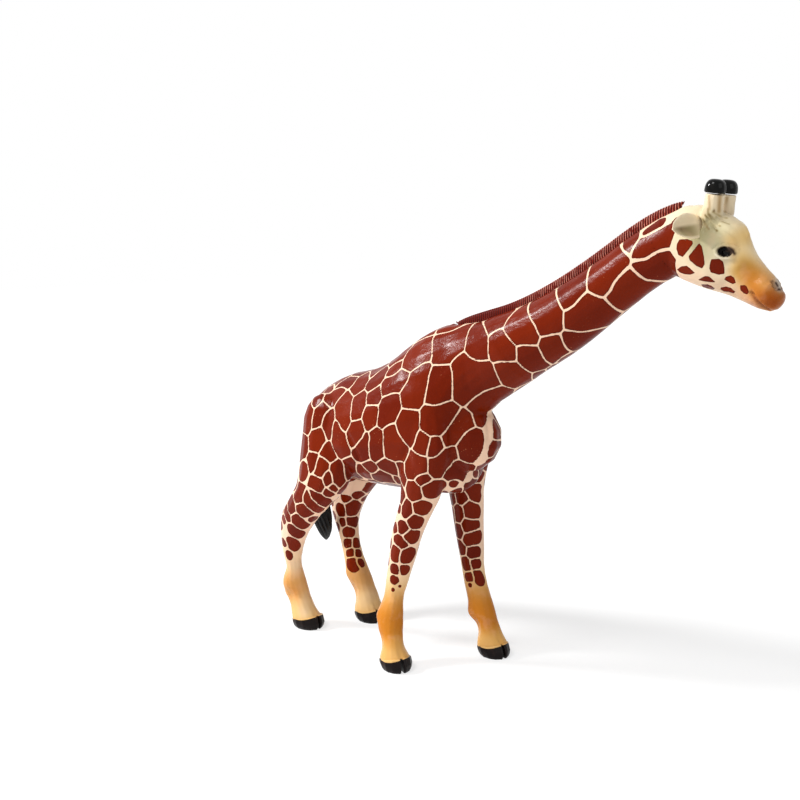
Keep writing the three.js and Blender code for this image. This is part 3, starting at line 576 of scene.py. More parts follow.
# %% Trunk and neck from the front right, as circles x,y,radius in pixels; a semicolon ends a patch
front_trunk = """
343,382,4.5 351,380,6; 364,377,6.5 359,386,5.5; 381,373,7 374,382,6; 394,368,5.5; 332,386,3.5 327,391,4;
316,402,4; 338,393,4.5 331,400,4; 322,409,4.5 317,418,6 315,424,4; 343.5,403,7 343,412,8 344,421,5.5;
359,402,6.5 356.5,413,5; 374,397,7; 371,413,6.5 369.5,421,6.5; 388,387,6.5 397,381,7 403,378,4;
390,405,9.5 386,415,7 382.5,421,4; 357,430,7.5 353,438,5; 376.5,437,6.5 376.5,446,6.5 376,453,6;
393,443,9 399,450,8.5 391,451,7.5 390,433,5.5; 409,420,8.5 408,430,9 411,439,5;
363,447,5 361,455,6 366,438,2.5; 340,447,9 337.5,436,5.5 336,427,3.5; 329,418,5 328,426,5.5 328,433,3.5;
318,436,7.5 316,444,6; 328,450,5 330.5,457,3.5 324,453.5,2.5; 313,459,4.5 313,467,3;
321.5,465,6.5 319,472,5; 337,468,5.5 338.5,476,5.5 339.5,483,4; 350.5,465,6 352,473,7;
316.5,482,5.5 318,487,5; 328,476,3.5 328,482,3.5; 333,488,3.8; 328,493,4; 315,496,4.5 321,501,5 326,503,3.5;
307,498,4 312,504,4.5 317,508.5,3; 300,490,5 298,498,5; 291,503,4 291,509,4; 301,508,4.5 306,513,4.5;
285.5,511,3 288,517,2.5; 369.5,467.5,6; 384.5,465,4.5 392,467,5; 376,477.5,4.5 382,477,6 389,478.5,4.5;
396.5,480,2.5; 401,467,3.5 402,474,4 403,480,3; 420,348,10 412,359,9 424,352,8;
443,345,11 454,342,10.5 443,354,8; 478,336,10.5 478,348,9.5; 499,348,9 497,335,5.5 506,353,7;
469,377,15 483,376,12 465,391,11 462,368,8; 441,378,10 440,390,10.5 436,398,7.5;
418,379,8.5 414,390,11 411,399,8 423,371,4.5; 437,419,14 447,413,9 431,424,9;
463,422,9 456,431,8.5 449,439,6; 480,405,9 490,399,9.5 500,394.5,6 481,417,6.5; 472,442,11 469,451,10.5;
495,424,3.5 497,434,4; 494,449,7; 487,465,4; 422,441,7 420,448,6.5; 436,444,5.5 433.5,452,4.5;
414,463,9.5 420,465,7.5 410,472,6; 438,467,9 445,460,8 451,452,4.5;
459,468,7 467,468.5,5.5 451,473.5,5 461,474,4; 476,475,3.5; 419,480.5,3 424.5,479,3.8;
513,324,9 522,329,11 529,336,7; 541,311,11 549,316,12 545,326,7; 573,287,11.5 569,298,8;
609,267,14 600,280,10 616,259,9; 633,240,4.5 627,246,3.5; 661,222,4 652,228,3.5 646,232,2.5;
644,248,9 653,243,9 663,237,6.5; 661,264,12 652,270,9 643,266.5,3.5;
628,288,13 636,290,11 622,300,10 648,287,5.5; 589,314,15 577,319,10 603,314,11;
574,341,7.5 585,339,5.5 594,335,4; 552,346,9 553,355,8; 530,356,9.5 535,363,8; 509,372,9.5 517,378,9;
565,358,3; 540,374,2.5
"""
print("patches of the trunk in the front view:", front_trunk.count(";") + 1)

# %% Legs and head from the front right
front_legs = """
283.5,518.5,3; 296,519.5,4.5 303,525,4.5; 292,529.5,4 299,534.5,4; 291.5,542,4.5 294.5,547,4.2;
288.6,553.5,2.4 288.8,557.5,2.2;
346,498,4; 358,495,4.5; 340.5,510,5; 354,506,5.5 351.5,511,5; 343,522.5,3; 350.5,522,3.5 354.5,522,3.5;
348.5,532,5; 348,543,4; 356.5,543,4; 350,553,3.5; 358.5,553,3; 350.5,563,4.5 354.5,567,4; 360.5,563,3.5;
413,489,6.5 413.5,494,5.5; 431,490,7 438,489,7; 407,505,3.5 405.5,512,4; 420,507.5,5 424.5,508.5,5.5;
415.5,522.5,6; 402.5,528,5; 410,537,4.5 414,536.5,5; 398,540,3.8 402.5,544,3.2; 395.5,551,4 394.5,557,3.5;
409,554,5 405.5,558,4.5; 394.5,569.5,4.2; 404.5,570,4; 394,580,3.5; 400,586.5,1.5; 392.5,590,2;
399.5,508,2.5; 395,528,3; 390.5,543,2.5; 457.5,492,5.5 461.5,498,5; 474,490,5.5 476,497.5,3.5;
458,511,4.5 457.5,518,4; 470,507,4.5 472.5,513,6; 467.5,526,5 472.5,525.5,5; 458,528,4 458,533,4;
470,540,5 475.5,536,5; 458.5,544,3.5 462,550,3.5; 473.5,552.5,5.5; 465,562,3.8 467,567,3.5; 475.5,564,4.5;
469,577,4.5; 477,574.5,3.5 481,581,3.5; 470,585,2; 454.5,484,2.5
"""
front_head = """
677,219.5,2.5 674,224.5,2.8; 682.5,247,6.5 687,243.5,4; 699,254,6.5 700,261,6; 716,266,6.5 719,269,5.5;
683.5,270,3.5 689.5,272,3; 704,279,3 709.5,280.5,2.2; 729,279.5,3 733.5,281.5,3; 742.5,288,3 746.5,292,2.8;
706,285.5,1.8; 724,289,2.2 730,291,2.2
"""
print("patches of the legs in the front view:", front_legs.count(";") + 1)

# %% Trunk and neck from the rear left
rear_trunk = """
51.5,170.6,3; 57.5,176,2.6 59,181,2.8; 63.6,183.6,4 68,191.6,3.6; 76,183,2.2 79,188,2.2;
80.5,196,6.3 84.1,205.9,6.3 86,198,4.5; 95.7,210.4,5.4 93,217,4.5 100.2,215,4.5;
84.1,222.9,4 89.5,230,5.4 94.8,236.3,3.1; 107.3,228.2,5.8 102.9,235.4,4.5 113.6,230,4.5;
118,242.5,5.4 112.7,248.8,4 124,240,4; 102.9,245.2,3.6; 110.9,257.7,3.6; 120.7,266.6,3.2; 93.9,243.4,2.6;
126,256,7; 137,257,6.5 144,255,5; 153,262,8 158,264,6 154,271,4; 136,276,8 132,283,6;
148,284,5.5 146,293,5.5; 160,292,8 162,302,9; 172,274,9 178,282,8 167,272,7; 180,303,7.5;
191,291,5.5 194,297,5; 203,303,6 197,310,6; 216,307,3 219,308,2.5; 209,314,5 206,320,4.5;
222,319,6 229,319,6 234,322,3.5; 233,334,7.5 239,333,5.5; 245,333,3; 216,335,6.5 221,333,5;
205,335,5 203,342,5; 195,331,7.5; 182,332,6 178,336,4.5; 186,319,5.5; 172,318,6 172,326,5.5;
157,319,6 156,328,5.5; 141,308,6 148,311,6.5 141,314,5; 134,318,3.5 135,327,4; 145,328,6;
146,345,6.5 151,348,5; 160,340,5 164,340,5; 173,342,4 173,349,4; 187,346,6 193,349,5; 182,356,4 185,362,4;
199,357,4.5 197,364,4; 210,352,6 207,357,4.5; 224,350,6 225,358,6; 238,349,6; 239,363,5.5 240,370,3.5;
215,369,8; 230,375,7.5; 203,372,4.5; 204,385,4.5 206,390,4.5; 216,386,6; 227,391,6; 247,366,3;
246,384,3.5 246,390,3.5
"""
print("patches of the trunk in the rear view:", rear_trunk.count(";") + 1)

# %% Legs, tail and left cheek from the rear left
rear_legs = """
219,402,5.5 224,405,4.5; 208,400,4.5; 212,411,4; 220,413.5,4 224,413.5,4; 225,425,7 229,428,6;
215,422,3.5 216,428,3.5; 224,437,3 229,437,3; 216,438,3.5; 225,445,3; 215,450,4.5; 212.5,459,3.5;
211.5,467.5,2; 212,474,1.5; 261.5,415.5,5.5; 264.5,443,4.8; 184,372,4; 183,381,4; 190,379,3.5; 184,388,4.5;
191,388,3.5; 184,394,3; 188,401,3.5; 188,407,3.5; 189,412,3.5; 191,421,4.5; 186,414,2.5; 187,424,2.5;
137,352,4; 147,362,6; 156,357,4.5; 136,365,4.5; 144,373,3.5 148,373,3.5; 136,378,3.5; 144,380.5,2.5;
143,388,4; 134,389,3; 143,397,4; 132,398,3.5; 137,404,2.5 141,405,2.5; 137,410,3; 134,416.5,3
"""
tail_and_cheek = """
254,346,3.8 255,353,3.8; 257,371,3 255,380,3; 254,396,3 253,404,2.2; 51,183,4.2; 44.4,187.1,2.8; 39.5,188,2;
48.6,192.9,1.6 52.5,193.6,1.6; 58.7,191.6,2.6 62,194,2; 43.9,192.5,1.3
"""
print("patches of the legs in the rear view:", rear_legs.count(";") + 1)

# %% Places that stay bare: the thigh's inner side, the breast between the legs and the seam beside it
bare_places = """
337,497,2 344,492,2.5 352,488,3 360,485,3 367,481,2.5; 470,479,2;
490.5,413,0.4 489.8,422,0.6 489.2,430,1.1 488.4,438,1.2 486.4,447,0.7 484.4,455,0.7 480.5,463,0.8;
437,503.5,1.6 431,515,1.6 425,527,1.6 421,539,1.4; 483.5,490,1.2 484.5,510,1.2 484.5,530,1.2 485.5,550,1.2;
"""
print("bare places:", bare_places.count(";"))

# %% [markdown]
# ## The cheek
# The patches of the cheek are few and stand far apart, and their shapes are what makes the face. Circles
# would round them off, so each is noted by the corners of its outline.

# %% The cheek's outlines, as corners x,y in pixels
cheek_outlines = """
679.6,216.2 675.6,218.2 672.1,222.1 671.1,226.1 673.7,229.4 675.6,228 675.2,225.1 677.6,220.2;
679.6,239.9 687.5,239.3 692.4,241.3 692.4,243.8 687.5,250.7 682.5,256.6 678.6,254.7 676.6,248.8 677.2,243.8;
699.3,243.8 701.7,246.8 703.6,256.6 704.2,264.5 701.7,268.1 696.4,265.5 690.4,260.6 688.7,256.6 692.4,251.7
697.3,245.8;
711.5,259.6 719,259.2 722.6,261.6 724,267.5 724,273.4 719,274.4 711.1,272 709.6,268.5 710.4,262.6;
677.6,269.5 681.6,266.5 686.5,266.1 690.4,269.1 694.6,272.8 690.4,274.4 684.5,274 679.6,272;
705.2,276.4 709.2,276.8 711.5,278.9 714.5,281.9 709.2,281.9 703.3,280.7 698.7,279.9 701.7,277.9;
725.9,276.8 730.9,275.8 733.8,277.9 735.6,282.7 732.8,283.7 728.9,281.9 724.6,279.3;
740.3,285.6 744.7,285.3 746.6,287.2 748.6,292.1 747,294.1 743.7,293.1 740.7,290.2;
721,287.8 725.9,286.8 730.9,288.2 734.8,291.8 733.2,293.1 728.9,291.8 724,291.2 720.4,289.2;
701.7,284.7 707.2,284.7 711.1,286.2 714.1,288.6 712.7,289.4 708.2,288.2 703.3,286.6;
"""
print("patches of the cheek:", cheek_outlines.count(";"))

# %% [markdown]
# ## From a pixel to the skin
# A camera sees each pixel along a ray. Where that ray meets the skin or an ear, there lies what the
# photograph shows. Every note above, and later every stroke and colour, finds its place in this way.


# %% Rays from a view onto the skin
tree_points, tree_faces = skin_points.tolist(), skin_faces.tolist()
for name in ("ear_right", "ear_left"):
    ear_points, ear_faces = merged_copy(name)
    tree_faces += (ear_faces + len(tree_points)).tolist()
    tree_points += ear_points.tolist()
skin_tree = BVHTree.FromPolygons(tree_points, tree_faces)


def on_skin(view, x, y):
    """The point behind a pixel and a pixel's millimetres there; for a ray that misses, the nearest point."""
    pixel = np.array([x - image_size / 2, image_size / 2 - y, -view["focal"]])
    ray = pixel @ view["axes"]
    ray /= np.linalg.norm(ray)
    point = skin_tree.ray_cast(Vector(view["place"]), Vector(ray))[0]
    if point is None:
        middle = np.linalg.norm(look_at - view["place"])
        tries = [Vector(view["place"] + ray * (middle + step)) for step in np.arange(-110.0, 111.0, 2.5)]
        point = min((skin_tree.find_nearest(place) for place in tries), key=lambda found: found[3])[0]
    point = np.array(point)
    return point, (view["place"] - point) @ view["axes"][2] / view["focal"]


print("a pixel on the shoulder is", round(on_skin(front_view, 449, 345)[1], 3), "mm wide")


# %% Read the circles
patch_notes = []  # what each patch was read from; its place in the list is its number
trunk_margin, leg_margin, head_margin, nape_margin = 3.0, 1.5, 0.55, 1.0
neck_extra = 3.5  # the neck's patches are large, so they may reach this much farther


def read_circles(view, text, margin):
    """Rows of x, y, z, radius, patch number and margin: how far a patch may reach past its circles.

    Between two circles of a patch that follow each other, steps of one third join them.
    """
    widest_step = 16
    rows = []
    for patch in text.replace("\n", " ").split(";"):
        last = None
        for circle in patch.split():
            x, y, radius = [float(word) for word in circle.split(",")]
            place, scale = on_skin(view, x, y)
            row = np.array([*place, radius * scale, len(patch_notes), margin])
            if last is not None and np.linalg.norm(row[:3] - last[:3]) < widest_step:
                rows += [last + (row - last) * share for share in (1 / 3, 2 / 3)]
            rows.append(row)
            last = row
        patch_notes.append(patch)
    return np.array(rows)


print("circles of the trunk in the front view:", len(front_trunk.replace(";", " ").split()))

# %% All circles, and how far the patches reach past them
circles = np.concatenate([
    read_circles(front_view, front_trunk, trunk_margin),
    read_circles(front_view, front_legs, leg_margin),
    read_circles(rear_view, rear_trunk, trunk_margin),
    read_circles(rear_view, rear_legs, leg_margin),
])
head_from = len(patch_notes)
up_neck = circles[:, :3] @ neck_direction
circles[:, 5] += neck_extra * ramp(up_neck, neck_seam - 38, neck_seam - 26)
beside_nape = ramp(up_neck, head_seam - 18, head_seam - 10) * ramp(circles[:, 2], 157, 161)
circles[:, 5] -= beside_nape * (circles[:, 5] - nape_margin)
circles = np.concatenate([
    circles,
    read_circles(front_view, front_head, head_margin),
    read_circles(rear_view, tail_and_cheek, head_margin),
])
bare_from = len(patch_notes)
circles = np.concatenate([circles, read_circles(front_view, bare_places, 0.0)])
bare_to = len(patch_notes)

# Low on the legs and on the tail the ground shows between the spots, so they reach less far
low_down = 1 - ramp(circles[:, 2], 28, 48)
low_margin = 0.35 + 0.6 * ramp(circles[:, 3], 0.6, 1.2)
circles[:, 5] -= low_down * (circles[:, 5] - low_margin)
on_tail = (circles[:, 0] < node_box("tail")[1, 0]) & (circles[:, 5] < 0.6) & (circles[:, 2] > 52)
circles[on_tail, 5] = 1.1
print("circles:", len(circles), "in", len(patch_notes), "patches")

# %% [markdown]
# ## Patches where neither view looks
# The belly, the insides of the legs and parts of the back show in neither view. There the net simply goes
# on: again and again, a new patch is put on the skin at the place that lies farthest outside all the
# others.


# %% Fill the unseen places
def fill_in(rows, points, radius, spacing, margin):
    """Adds patches of one circle to the points until none is farther than spacing from a rim."""
    added = []
    near = rows[(rows[:, :3] > points.min(0) - 15).all(1) & (rows[:, :3] < points.max(0) + 15).all(1)]
    least = np.full(len(points), np.inf)
    for row in near:
        least = np.minimum(least, np.linalg.norm(points - row[:3], axis=1) - row[3])
    while least.max() > spacing:
        place = points[least.argmax()]
        size = radius * (0.85 + 0.3 * ((len(added) * 0.618) % 1))
        added.append([*place, size, len(patch_notes), margin])
        patch_notes.append("filled")
        least = np.minimum(least, np.linalg.norm(points - place, axis=1) - size)
    return np.concatenate([rows, np.array(added)]) if added else rows


sparse = skin_points[::7]
crest_height = np.interp(sparse[:, 0], stations, np.mean(sides, axis=0))
beside_mane = (np.abs(sparse[:, 1] - stance_middle[1]) < 5.5) & (sparse[:, 0] > mane_low[0])
sparse = sparse[~(beside_mane & (sparse[:, 2] > crest_height - 2.5))]
height, up_neck = sparse[:, 2], sparse @ neck_direction
seen_count = len(circles)
for where, radius, spacing, margin in (
    ((height > 74) & (up_neck < neck_seam), 4.6, 4.6, trunk_margin),
    ((up_neck > neck_seam) & (up_neck < head_seam - 5), 5.0, 6.3, trunk_margin + neck_extra),
    ((height > 52) & (height <= 74), 3.0, 3.1, leg_margin),
    ((height > 36) & (height <= 52), 1.8, 3.0, 0.6),
):
    circles = fill_in(circles, sparse[where], radius, spacing, margin)
print("filled in:", len(circles) - seen_count)

# %% [markdown]
# ## The net between the patches
# A point belongs to the patch whose rim is nearest. How deep it lies inside is half the difference between
# its distances to the two nearest patches. Both are smooth minimums over circles, so corners come out a
# little round, as a brush leaves them. The depth is kept on the mesh in millimetres, and the material draws
# the lines.


# %% Depth inside the patches
outside_all = -9.0  # the depth of places that no patch may cover


def patch_depth(points, rows, joined=0.3, corner=0.05, cell=10.0, reach=13.0):
    """Depth in millimetres inside the own patch, negative outside its margin, and the own patch's number.

    The points are taken cube by cube, each with only the circles that come near its cube.
    """
    depth, owner = np.full(len(points), outside_all), np.zeros(len(points), int)
    cubes, which = np.unique(np.floor(points / cell).astype(int), axis=0, return_inverse=True)
    order = np.argsort(which.ravel(), kind="stable")
    bounds = np.searchsorted(which.ravel()[order], np.arange(len(cubes) + 1))
    for number, low in enumerate(cubes * cell):
        outside = np.maximum(low - rows[:, :3], 0) + np.maximum(rows[:, :3] - low - cell, 0)
        near = rows[np.linalg.norm(outside, axis=1) - rows[:, 3] < reach]
        if len(near) == 0:
            continue
        near = near[np.argsort(near[:, 4], kind="stable")]
        patches, starts = np.unique(near[:, 4].astype(int), return_index=True)
        chosen = order[bounds[number]:bounds[number + 1]]
        rim = np.linalg.norm(points[chosen][:, None, :] - near[None, :, :3], axis=2) - near[:, 3]
        least = np.minimum.reduceat(rim, starts, axis=1)
        spread = np.exp(-(rim - np.repeat(least, np.diff([*starts, len(near)]), axis=1)) / joined)
        close = least - joined * np.log(np.add.reduceat(spread, starts, axis=1))
        own = close.argmin(1)
        line = np.arange(len(chosen))
        own_close = close[line, own]
        others = (close - own_close[:, None]) / 2
        others[line, own] = near[starts, 5][own] - own_close
        lowest = others.min(1)
        depth[chosen] = lowest - corner * np.log(np.exp(-(others - lowest[:, None]) / corner).sum(1))
        owner[chosen] = patches[own]
    depth[(owner >= bare_from) & (owner < bare_to)] = outside_all
    return depth, owner


# %% Patches that are noted by their outlines
def pixels_of(view, points):
    """Where points appear in a view, in pixels, and a pixel's millimetres at each."""
    turned = (points - view["place"]) @ view["axes"].T
    scale = -turned[:, 2] / view["focal"]
    return image_size / 2 + turned[:, :2] * [1, -1] / scale[:, None], scale


def outline_depth(points, text):
    """Depth in millimetres inside the outlines as the front view sees the points; negative outside.

    A pixel is inside if a level line from it crosses the outline an odd number of times.
    """
    pixels, scale = pixels_of(front_view, points)
    depth = np.full(len(points), outside_all)
    for outline in text.strip().strip(";").split(";"):
        corners = np.array([[float(word) for word in corner.split(",")] for corner in outline.split()])
        edges = np.roll(corners, -1, 0) - corners
        away = pixels[:, None, :] - corners
        share = np.clip((away * edges).sum(2) / (edges ** 2).sum(1), 0, 1)
        distance = np.linalg.norm(away - share[:, :, None] * edges, axis=2).min(1)
        beyond = (away[:, :, 1] > 0) != (away[:, :, 1] > edges[:, 1])
        run = edges[:, 0] / np.where(edges[:, 1] == 0, 1e-9, edges[:, 1])
        inside = (beyond & (away[:, :, 0] < away[:, :, 1] * run)).sum(1) % 2 == 1
        depth = np.maximum(depth, np.where(inside, distance, -distance) * scale)
    return depth


def painted_depth(points):
    """The net's depth everywhere, but on the cheeks that of the outlines, mirrored for the left cheek.

    The head's own circles aren't painted. They only hold the neck's patches back.
    """
    depth, owner = patch_depth(points, circles)
    on_cheek = points @ neck_direction > head_seam - 4
    depth[on_cheek & (owner >= head_from) & (owner < bare_from)] = outside_all
    cheek = points[on_cheek]
    left = cheek[:, 1] > stance_middle[1]
    cheek[left] = mirrored(cheek[left])
    depth[on_cheek] = np.maximum(depth[on_cheek], outline_depth(cheek, cheek_outlines) + 0.5)
    return depth, owner


shoulder = on_skin(front_view, 449, 345)[0]
print("the shoulder's patch is", round(painted_depth(shoulder[None, :])[0][0], 2), "mm deep at the glint")

# %% [markdown]
# ## The head, on a finer skin
# The face needs lids, nostrils and lips that are smaller than the skin's squares. So the head's part of the
# skin is divided once more, and its points are moved in or out along the normals: the carver's strokes are
# found through pixels of the photograph, as the patches are, and each is mirrored to the far side.


# %% Finer squares for the head
def subdivided(points, faces):
    """Each square becomes four: new points at the middles of its edges and at its own middle."""
    edges = np.concatenate([faces[:, [i, (i + 1) % 4]] for i in range(4)])
    code, place = np.unique(edges.min(1) * len(points) + edges.max(1), return_inverse=True)
    edge_points = (points[code // len(points)] + points[code % len(points)]) / 2
    edge_of = place.reshape(4, -1).T + len(points)
    middle_of = len(points) + len(code) + np.arange(len(faces))
    corners = [np.column_stack([faces[:, i], edge_of[:, i], middle_of, edge_of[:, i - 1]]) for i in range(4)]
    return np.concatenate([points, edge_points, points[faces].mean(1)]), np.concatenate(corners)


overlap = 2.0
up_neck = skin_points[skin_faces].mean(1) @ neck_direction
head_points, head_faces = subdivided(*part_of(skin_points, skin_faces, up_neck > head_seam - overlap))
hold = ramp(head_points @ neck_direction, head_seam + 0.5, head_seam + 3.5)
head_points = relaxed(head_points, head_faces, 14, 0.52, weight=hold)
print("head:", len(head_points), "points")


# %% Strokes and dabs of the carver
def skin_path(pixels):
    """The places on the skin behind a row of the front view's pixels."""
    return np.array([on_skin(front_view, *pixel)[0] for pixel in pixels])


def distance_to_path(points, path):
    """Distances to a line through several places, and the share of the line's length at the nearest place."""
    lengths = np.linalg.norm(np.diff(path, axis=0), axis=1)
    begins = np.concatenate([[0], np.cumsum(lengths)])
    best, share = np.full(len(points), np.inf), np.zeros(len(points))
    for start, end, begin, length in zip(path, path[1:], begins, lengths):
        t = np.clip((points - start) @ (end - start) / length ** 2, 0, 1)
        away = np.linalg.norm(points - start - t[:, None] * (end - start), axis=1)
        closer = away < best
        best[closer] = away[closer]
        share[closer] = ((begin + t * length) / begins[-1])[closer]
    return best, share


def strokes(points, table, both):
    """How far strokes move points along their normals; on both sides of the animal if both is true.

    A stroke moves by height * exp(-(distance / width)^2), and fades over a share of its length at its ends.
    """
    move = np.zeros(len(points))
    for width, height, fade, pixels in table:
        path = skin_path(pixels)
        for line in (path, mirrored(path)) if both else (path,):
            away, share = distance_to_path(points, line)
            ends = ramp(np.minimum(share, 1 - share), -0.02, fade)
            move += height * ends * np.exp(-(away / width) ** 2)
    return move


def bell(points, middle, radius):
    """1 at a place and less around it: exp(-(distance / radius)^2)."""
    return np.exp(-(np.linalg.norm(points - middle, axis=1) / radius) ** 2)


# %% The openings of the eyes
eye_tilt = math.radians(33)
eye_long = math.cos(eye_tilt) * head_direction + math.sin(eye_tilt) * head_top
eye_high = math.cos(eye_tilt) * head_top - math.sin(eye_tilt) * head_direction
eye_places = {side: on_head(0.512, 0.2505, 0.38 * side) for side in (-1, 1)}


def eye_rim(points):
    """1 on the almond outline of the nearer eye, less inside; and how far ahead of and above its middle."""
    side = points[:, 1:2] > stance_middle[1]
    away = points - np.where(side, eye_places[1], eye_places[-1])
    ahead, above = away @ eye_long, away @ eye_high
    rim = np.hypot(ahead / 2.2, above / np.where(above > 0, 1.4, 1.65))
    rim[np.abs(points[:, 1] - stance_middle[1]) < 3] = 9
    return rim, ahead, above


rim, ahead, above = eye_rim(head_points)
push = -0.95 * (1 - ramp(rim, 0.8, 1.05))
push += 0.34 * np.exp(-((rim - 1.26) / 0.19) ** 2) * np.where(above > 0, 1.0, 0.6)
push -= 0.22 * np.exp(-((rim - 1.68) / 0.16) ** 2) * ramp(above, 0.3, 1.2)
print("eyes carved to", push.min().round(2), "mm")

# %% Carve the head
mouth = [(750, 291), (752, 293.8), (753.8, 296.3), (756, 299.5), (758.5, 302.5), (761.5, 305.3), (765, 307.7),
         (768.5, 309.3)]
nostril_fold = [(771.5, 280.5), (773.5, 284), (776, 288), (778.5, 289.8)]
ear_hairs = [
    [(705, 215), (709, 220), (714, 226), (717, 231)],
    [(709, 214), (714, 220), (720, 226)],
]
head_strokes = [  # width and height in millimetres, share that fades, pixels of the line
    (0.45, -0.4, 0.1, [(732, 250.5), (735, 254)]),
    (0.5, -1.0, 0.15, nostril_fold),
    (0.75, 0.3, 0.25, [(769, 281.5), (770.5, 287), (774.5, 291)]),
    (0.55, 0.25, 0.25, [(773.5, 278), (777.5, 283.5), (780, 288)]),
    (0.55, -1.0, 0.08, mouth),
    (1.3, 0.3, 0.25, [(752, 294.5), (760, 299.5), (769, 304.5)]),
    (0.9, 0.22, 0.25, [(748, 299), (756, 304), (764, 309)]),
    (2.2, -0.35, 0.25, [(741, 262), (752, 272), (764, 281)]),
    (2.4, 0.25, 0.25, [(700, 268), (712, 276), (726, 283)]),
    (1.4, 0.2, 0.25, [(697, 279), (715, 287), (735, 294)]),
    (1.1, -0.3, 0.25, [(722, 262), (730, 262), (739, 260)]),
    (0.42, -0.5, 0.25, ear_hairs[0]),
    (0.38, -0.45, 0.25, ear_hairs[1]),
    (0.36, -0.3, 0.25, [(713, 213), (721, 219), (731, 224)]),
    (0.5, -0.3, 0.25, [(709, 218), (705, 226), (704, 234)]),
    (1.5, 0.3, 0.25, [(741, 221), (746, 230), (749, 240)]),
]
push += strokes(head_points, head_strokes, both=True)
head_points = head_points + (push * hold)[:, None] * point_normals(head_points, head_faces)
head_points = relaxed(head_points, head_faces, 2, 0.5, weight=hold)
head_normals = point_normals(head_points, head_faces)
print("head carved by", push.min().round(2), "to", push.max().round(2), "mm")

# %% [markdown]
# ## Creases of the body and the form of the feet
# On the body only a few folds matter: where the thigh meets the flank, behind the shoulder and at the
# breast. The feet need more: the fetlock stands out at the back, and the pastern below it is slim. Round
# dabs press the skin in or lift it at places on the contours of the photograph.

# %% Carve the body
body_strokes = [
    (1.1, -0.7, 0.25, [(344, 428), (347, 434), (352, 444), (358, 458), (366, 478)]),
    (4.0, 0.5, 0.25, [(338, 438), (343, 452), (352, 470)]),
    (0.9, -0.6, 0.25, [(486, 414), (488.5, 428), (487, 444)]),
    (2.5, -0.5, 0.25, [(404, 446), (412, 470), (416, 486)]),
    (4.0, -0.35, 0.25, [(399, 352), (405, 372), (409, 394)]),
    (1.2, -0.6, 0.25, [(447, 478), (455, 484), (462, 487)]),
]
foot_dabs = """
378,641,4.2,-1.4 383,596,4.5,-1.1 377,614,3,0.7 404.5,640,4.5,-1.3 403,598,4,-0.8
474.5,627,3.8,-2.0 469,613,3,1.0 498,626,4.5,-0.7 468,596,3.5,-0.3
289,598,4,-2.0 285,581,3,0.4 283,565,5,-1.3 316,603,5,-0.9 303,565,5,-0.7
352,592,4,-2.3 347,573,3,0.6 374,592,3.5,0.3
"""  # x, y in pixels, radius and height in millimetres; a line for each foot
body_push = strokes(skin_points, body_strokes, both=False)
for dab in foot_dabs.split():
    x, y, radius, height = [float(word) for word in dab.split(",")]
    body_push += height * bell(skin_points, on_skin(front_view, x, y)[0], radius)
into_hoof = 0.7  # the leg's skin reaches this far down into the hooves' rims
skin_points[:, 2] -= into_hoof * (1 - ramp(skin_points[:, 2], 6.5, 11))
skin_points = skin_points + body_push[:, None] * point_normals(skin_points, skin_faces)
skin_normals = point_normals(skin_points, skin_faces)
print("body carved by", body_push.min().round(2), "to", body_push.max().round(2), "mm")

# %% [markdown]
# ## The ground colours
# Under the patches the figure is sprayed in soft tones: cream on the body, orange on the shins and the
# muzzle, olive in the ears. An airbrush leaves soft edges, so each tone is a bell-shaped dab in numpy,
# which gives every point its ground colour. The material reads that colour from the mesh. A few dabs and
# lines on the head are painted light: shade under the jaw and the mouth and under the upper lids, and a
# highlight on each nostril.


# %% Airbrush and fine brush
cream = (235, 199, 171)
shin = (188, 116, 36)
fetlock = (220, 176, 110)


def plain(tone, count):
    """The same screen colour for a number of points."""
    return np.tile(np.array(tone, float), (count, 1))


def cover(ground, tone, amount):
    """Blends the ground's colours towards a tone by amount, from 0 to 1."""
    return ground + amount[:, None] * (np.array(tone, float) - ground)


def spray(points, ground, dabs, both):
    """Soft dabs at pixels of the front view; on both sides of the animal if both is true."""
    for x, y, radius, tone, strength in dabs:
        place = on_skin(front_view, x, y)[0]
        for middle in (place, mirrored(place)) if both else (place,):
            ground = cover(ground, tone, strength * bell(points, middle, radius))
    return ground


def draw(points, ground, lines):
    """Thin lines through pixels of the front view, on both sides of the head."""
    for pixels, width, tone, strength in lines:
        path = skin_path(pixels)
        for line in (path, mirrored(path)):
            away, _ = distance_to_path(points, line)
            ground = cover(ground, tone, strength * np.exp(-(away / width) ** 2))
    return ground


print("cream:", cream, "shin:", shin, "fetlock:", fetlock)

# %% Spray the body
leg_dabs = [  # pixel, radius in millimetres, colour and strength
    (289, 583, 3.5, (200, 134, 62), 0.5),
    (296, 595, 3.2, (190, 112, 40), 0.65),
    (308, 600, 5.0, (224, 196, 152), 0.7),
    (305, 612, 3.5, (226, 200, 160), 0.7),
    (297, 566, 4.0, (228, 204, 170), 0.6),
    (349, 577, 3.5, (206, 150, 84), 0.7),
    (362, 600, 5.0, (226, 194, 146), 0.7),
    (372, 595, 4.5, (224, 196, 152), 0.6),
    (399, 640, 3.0, (222, 176, 106), 0.5),
    (500, 640, 3.0, (206, 150, 70), 0.4),
]
height = skin_points[:, 2]
orange_share = np.where(skin_points[:, 0] < stance_middle[0] + 7, 0.55, 1.0)  # less of it on the hind legs
skin_ground = plain(cream, len(skin_points))
skin_ground = cover(skin_ground, (228, 192, 142), orange_share * (1 - ramp(height, 26, 42)))
skin_ground = cover(skin_ground, shin, orange_share * (1 - ramp(height, 17, 33)))
skin_ground = cover(skin_ground, fetlock, 0.8 * (1 - ramp(height, 6.5, 13)))
skin_ground = spray(skin_points, skin_ground, leg_dabs, both=False)
print("mean colour below the knees:", skin_ground[height < 30].mean(0).round())

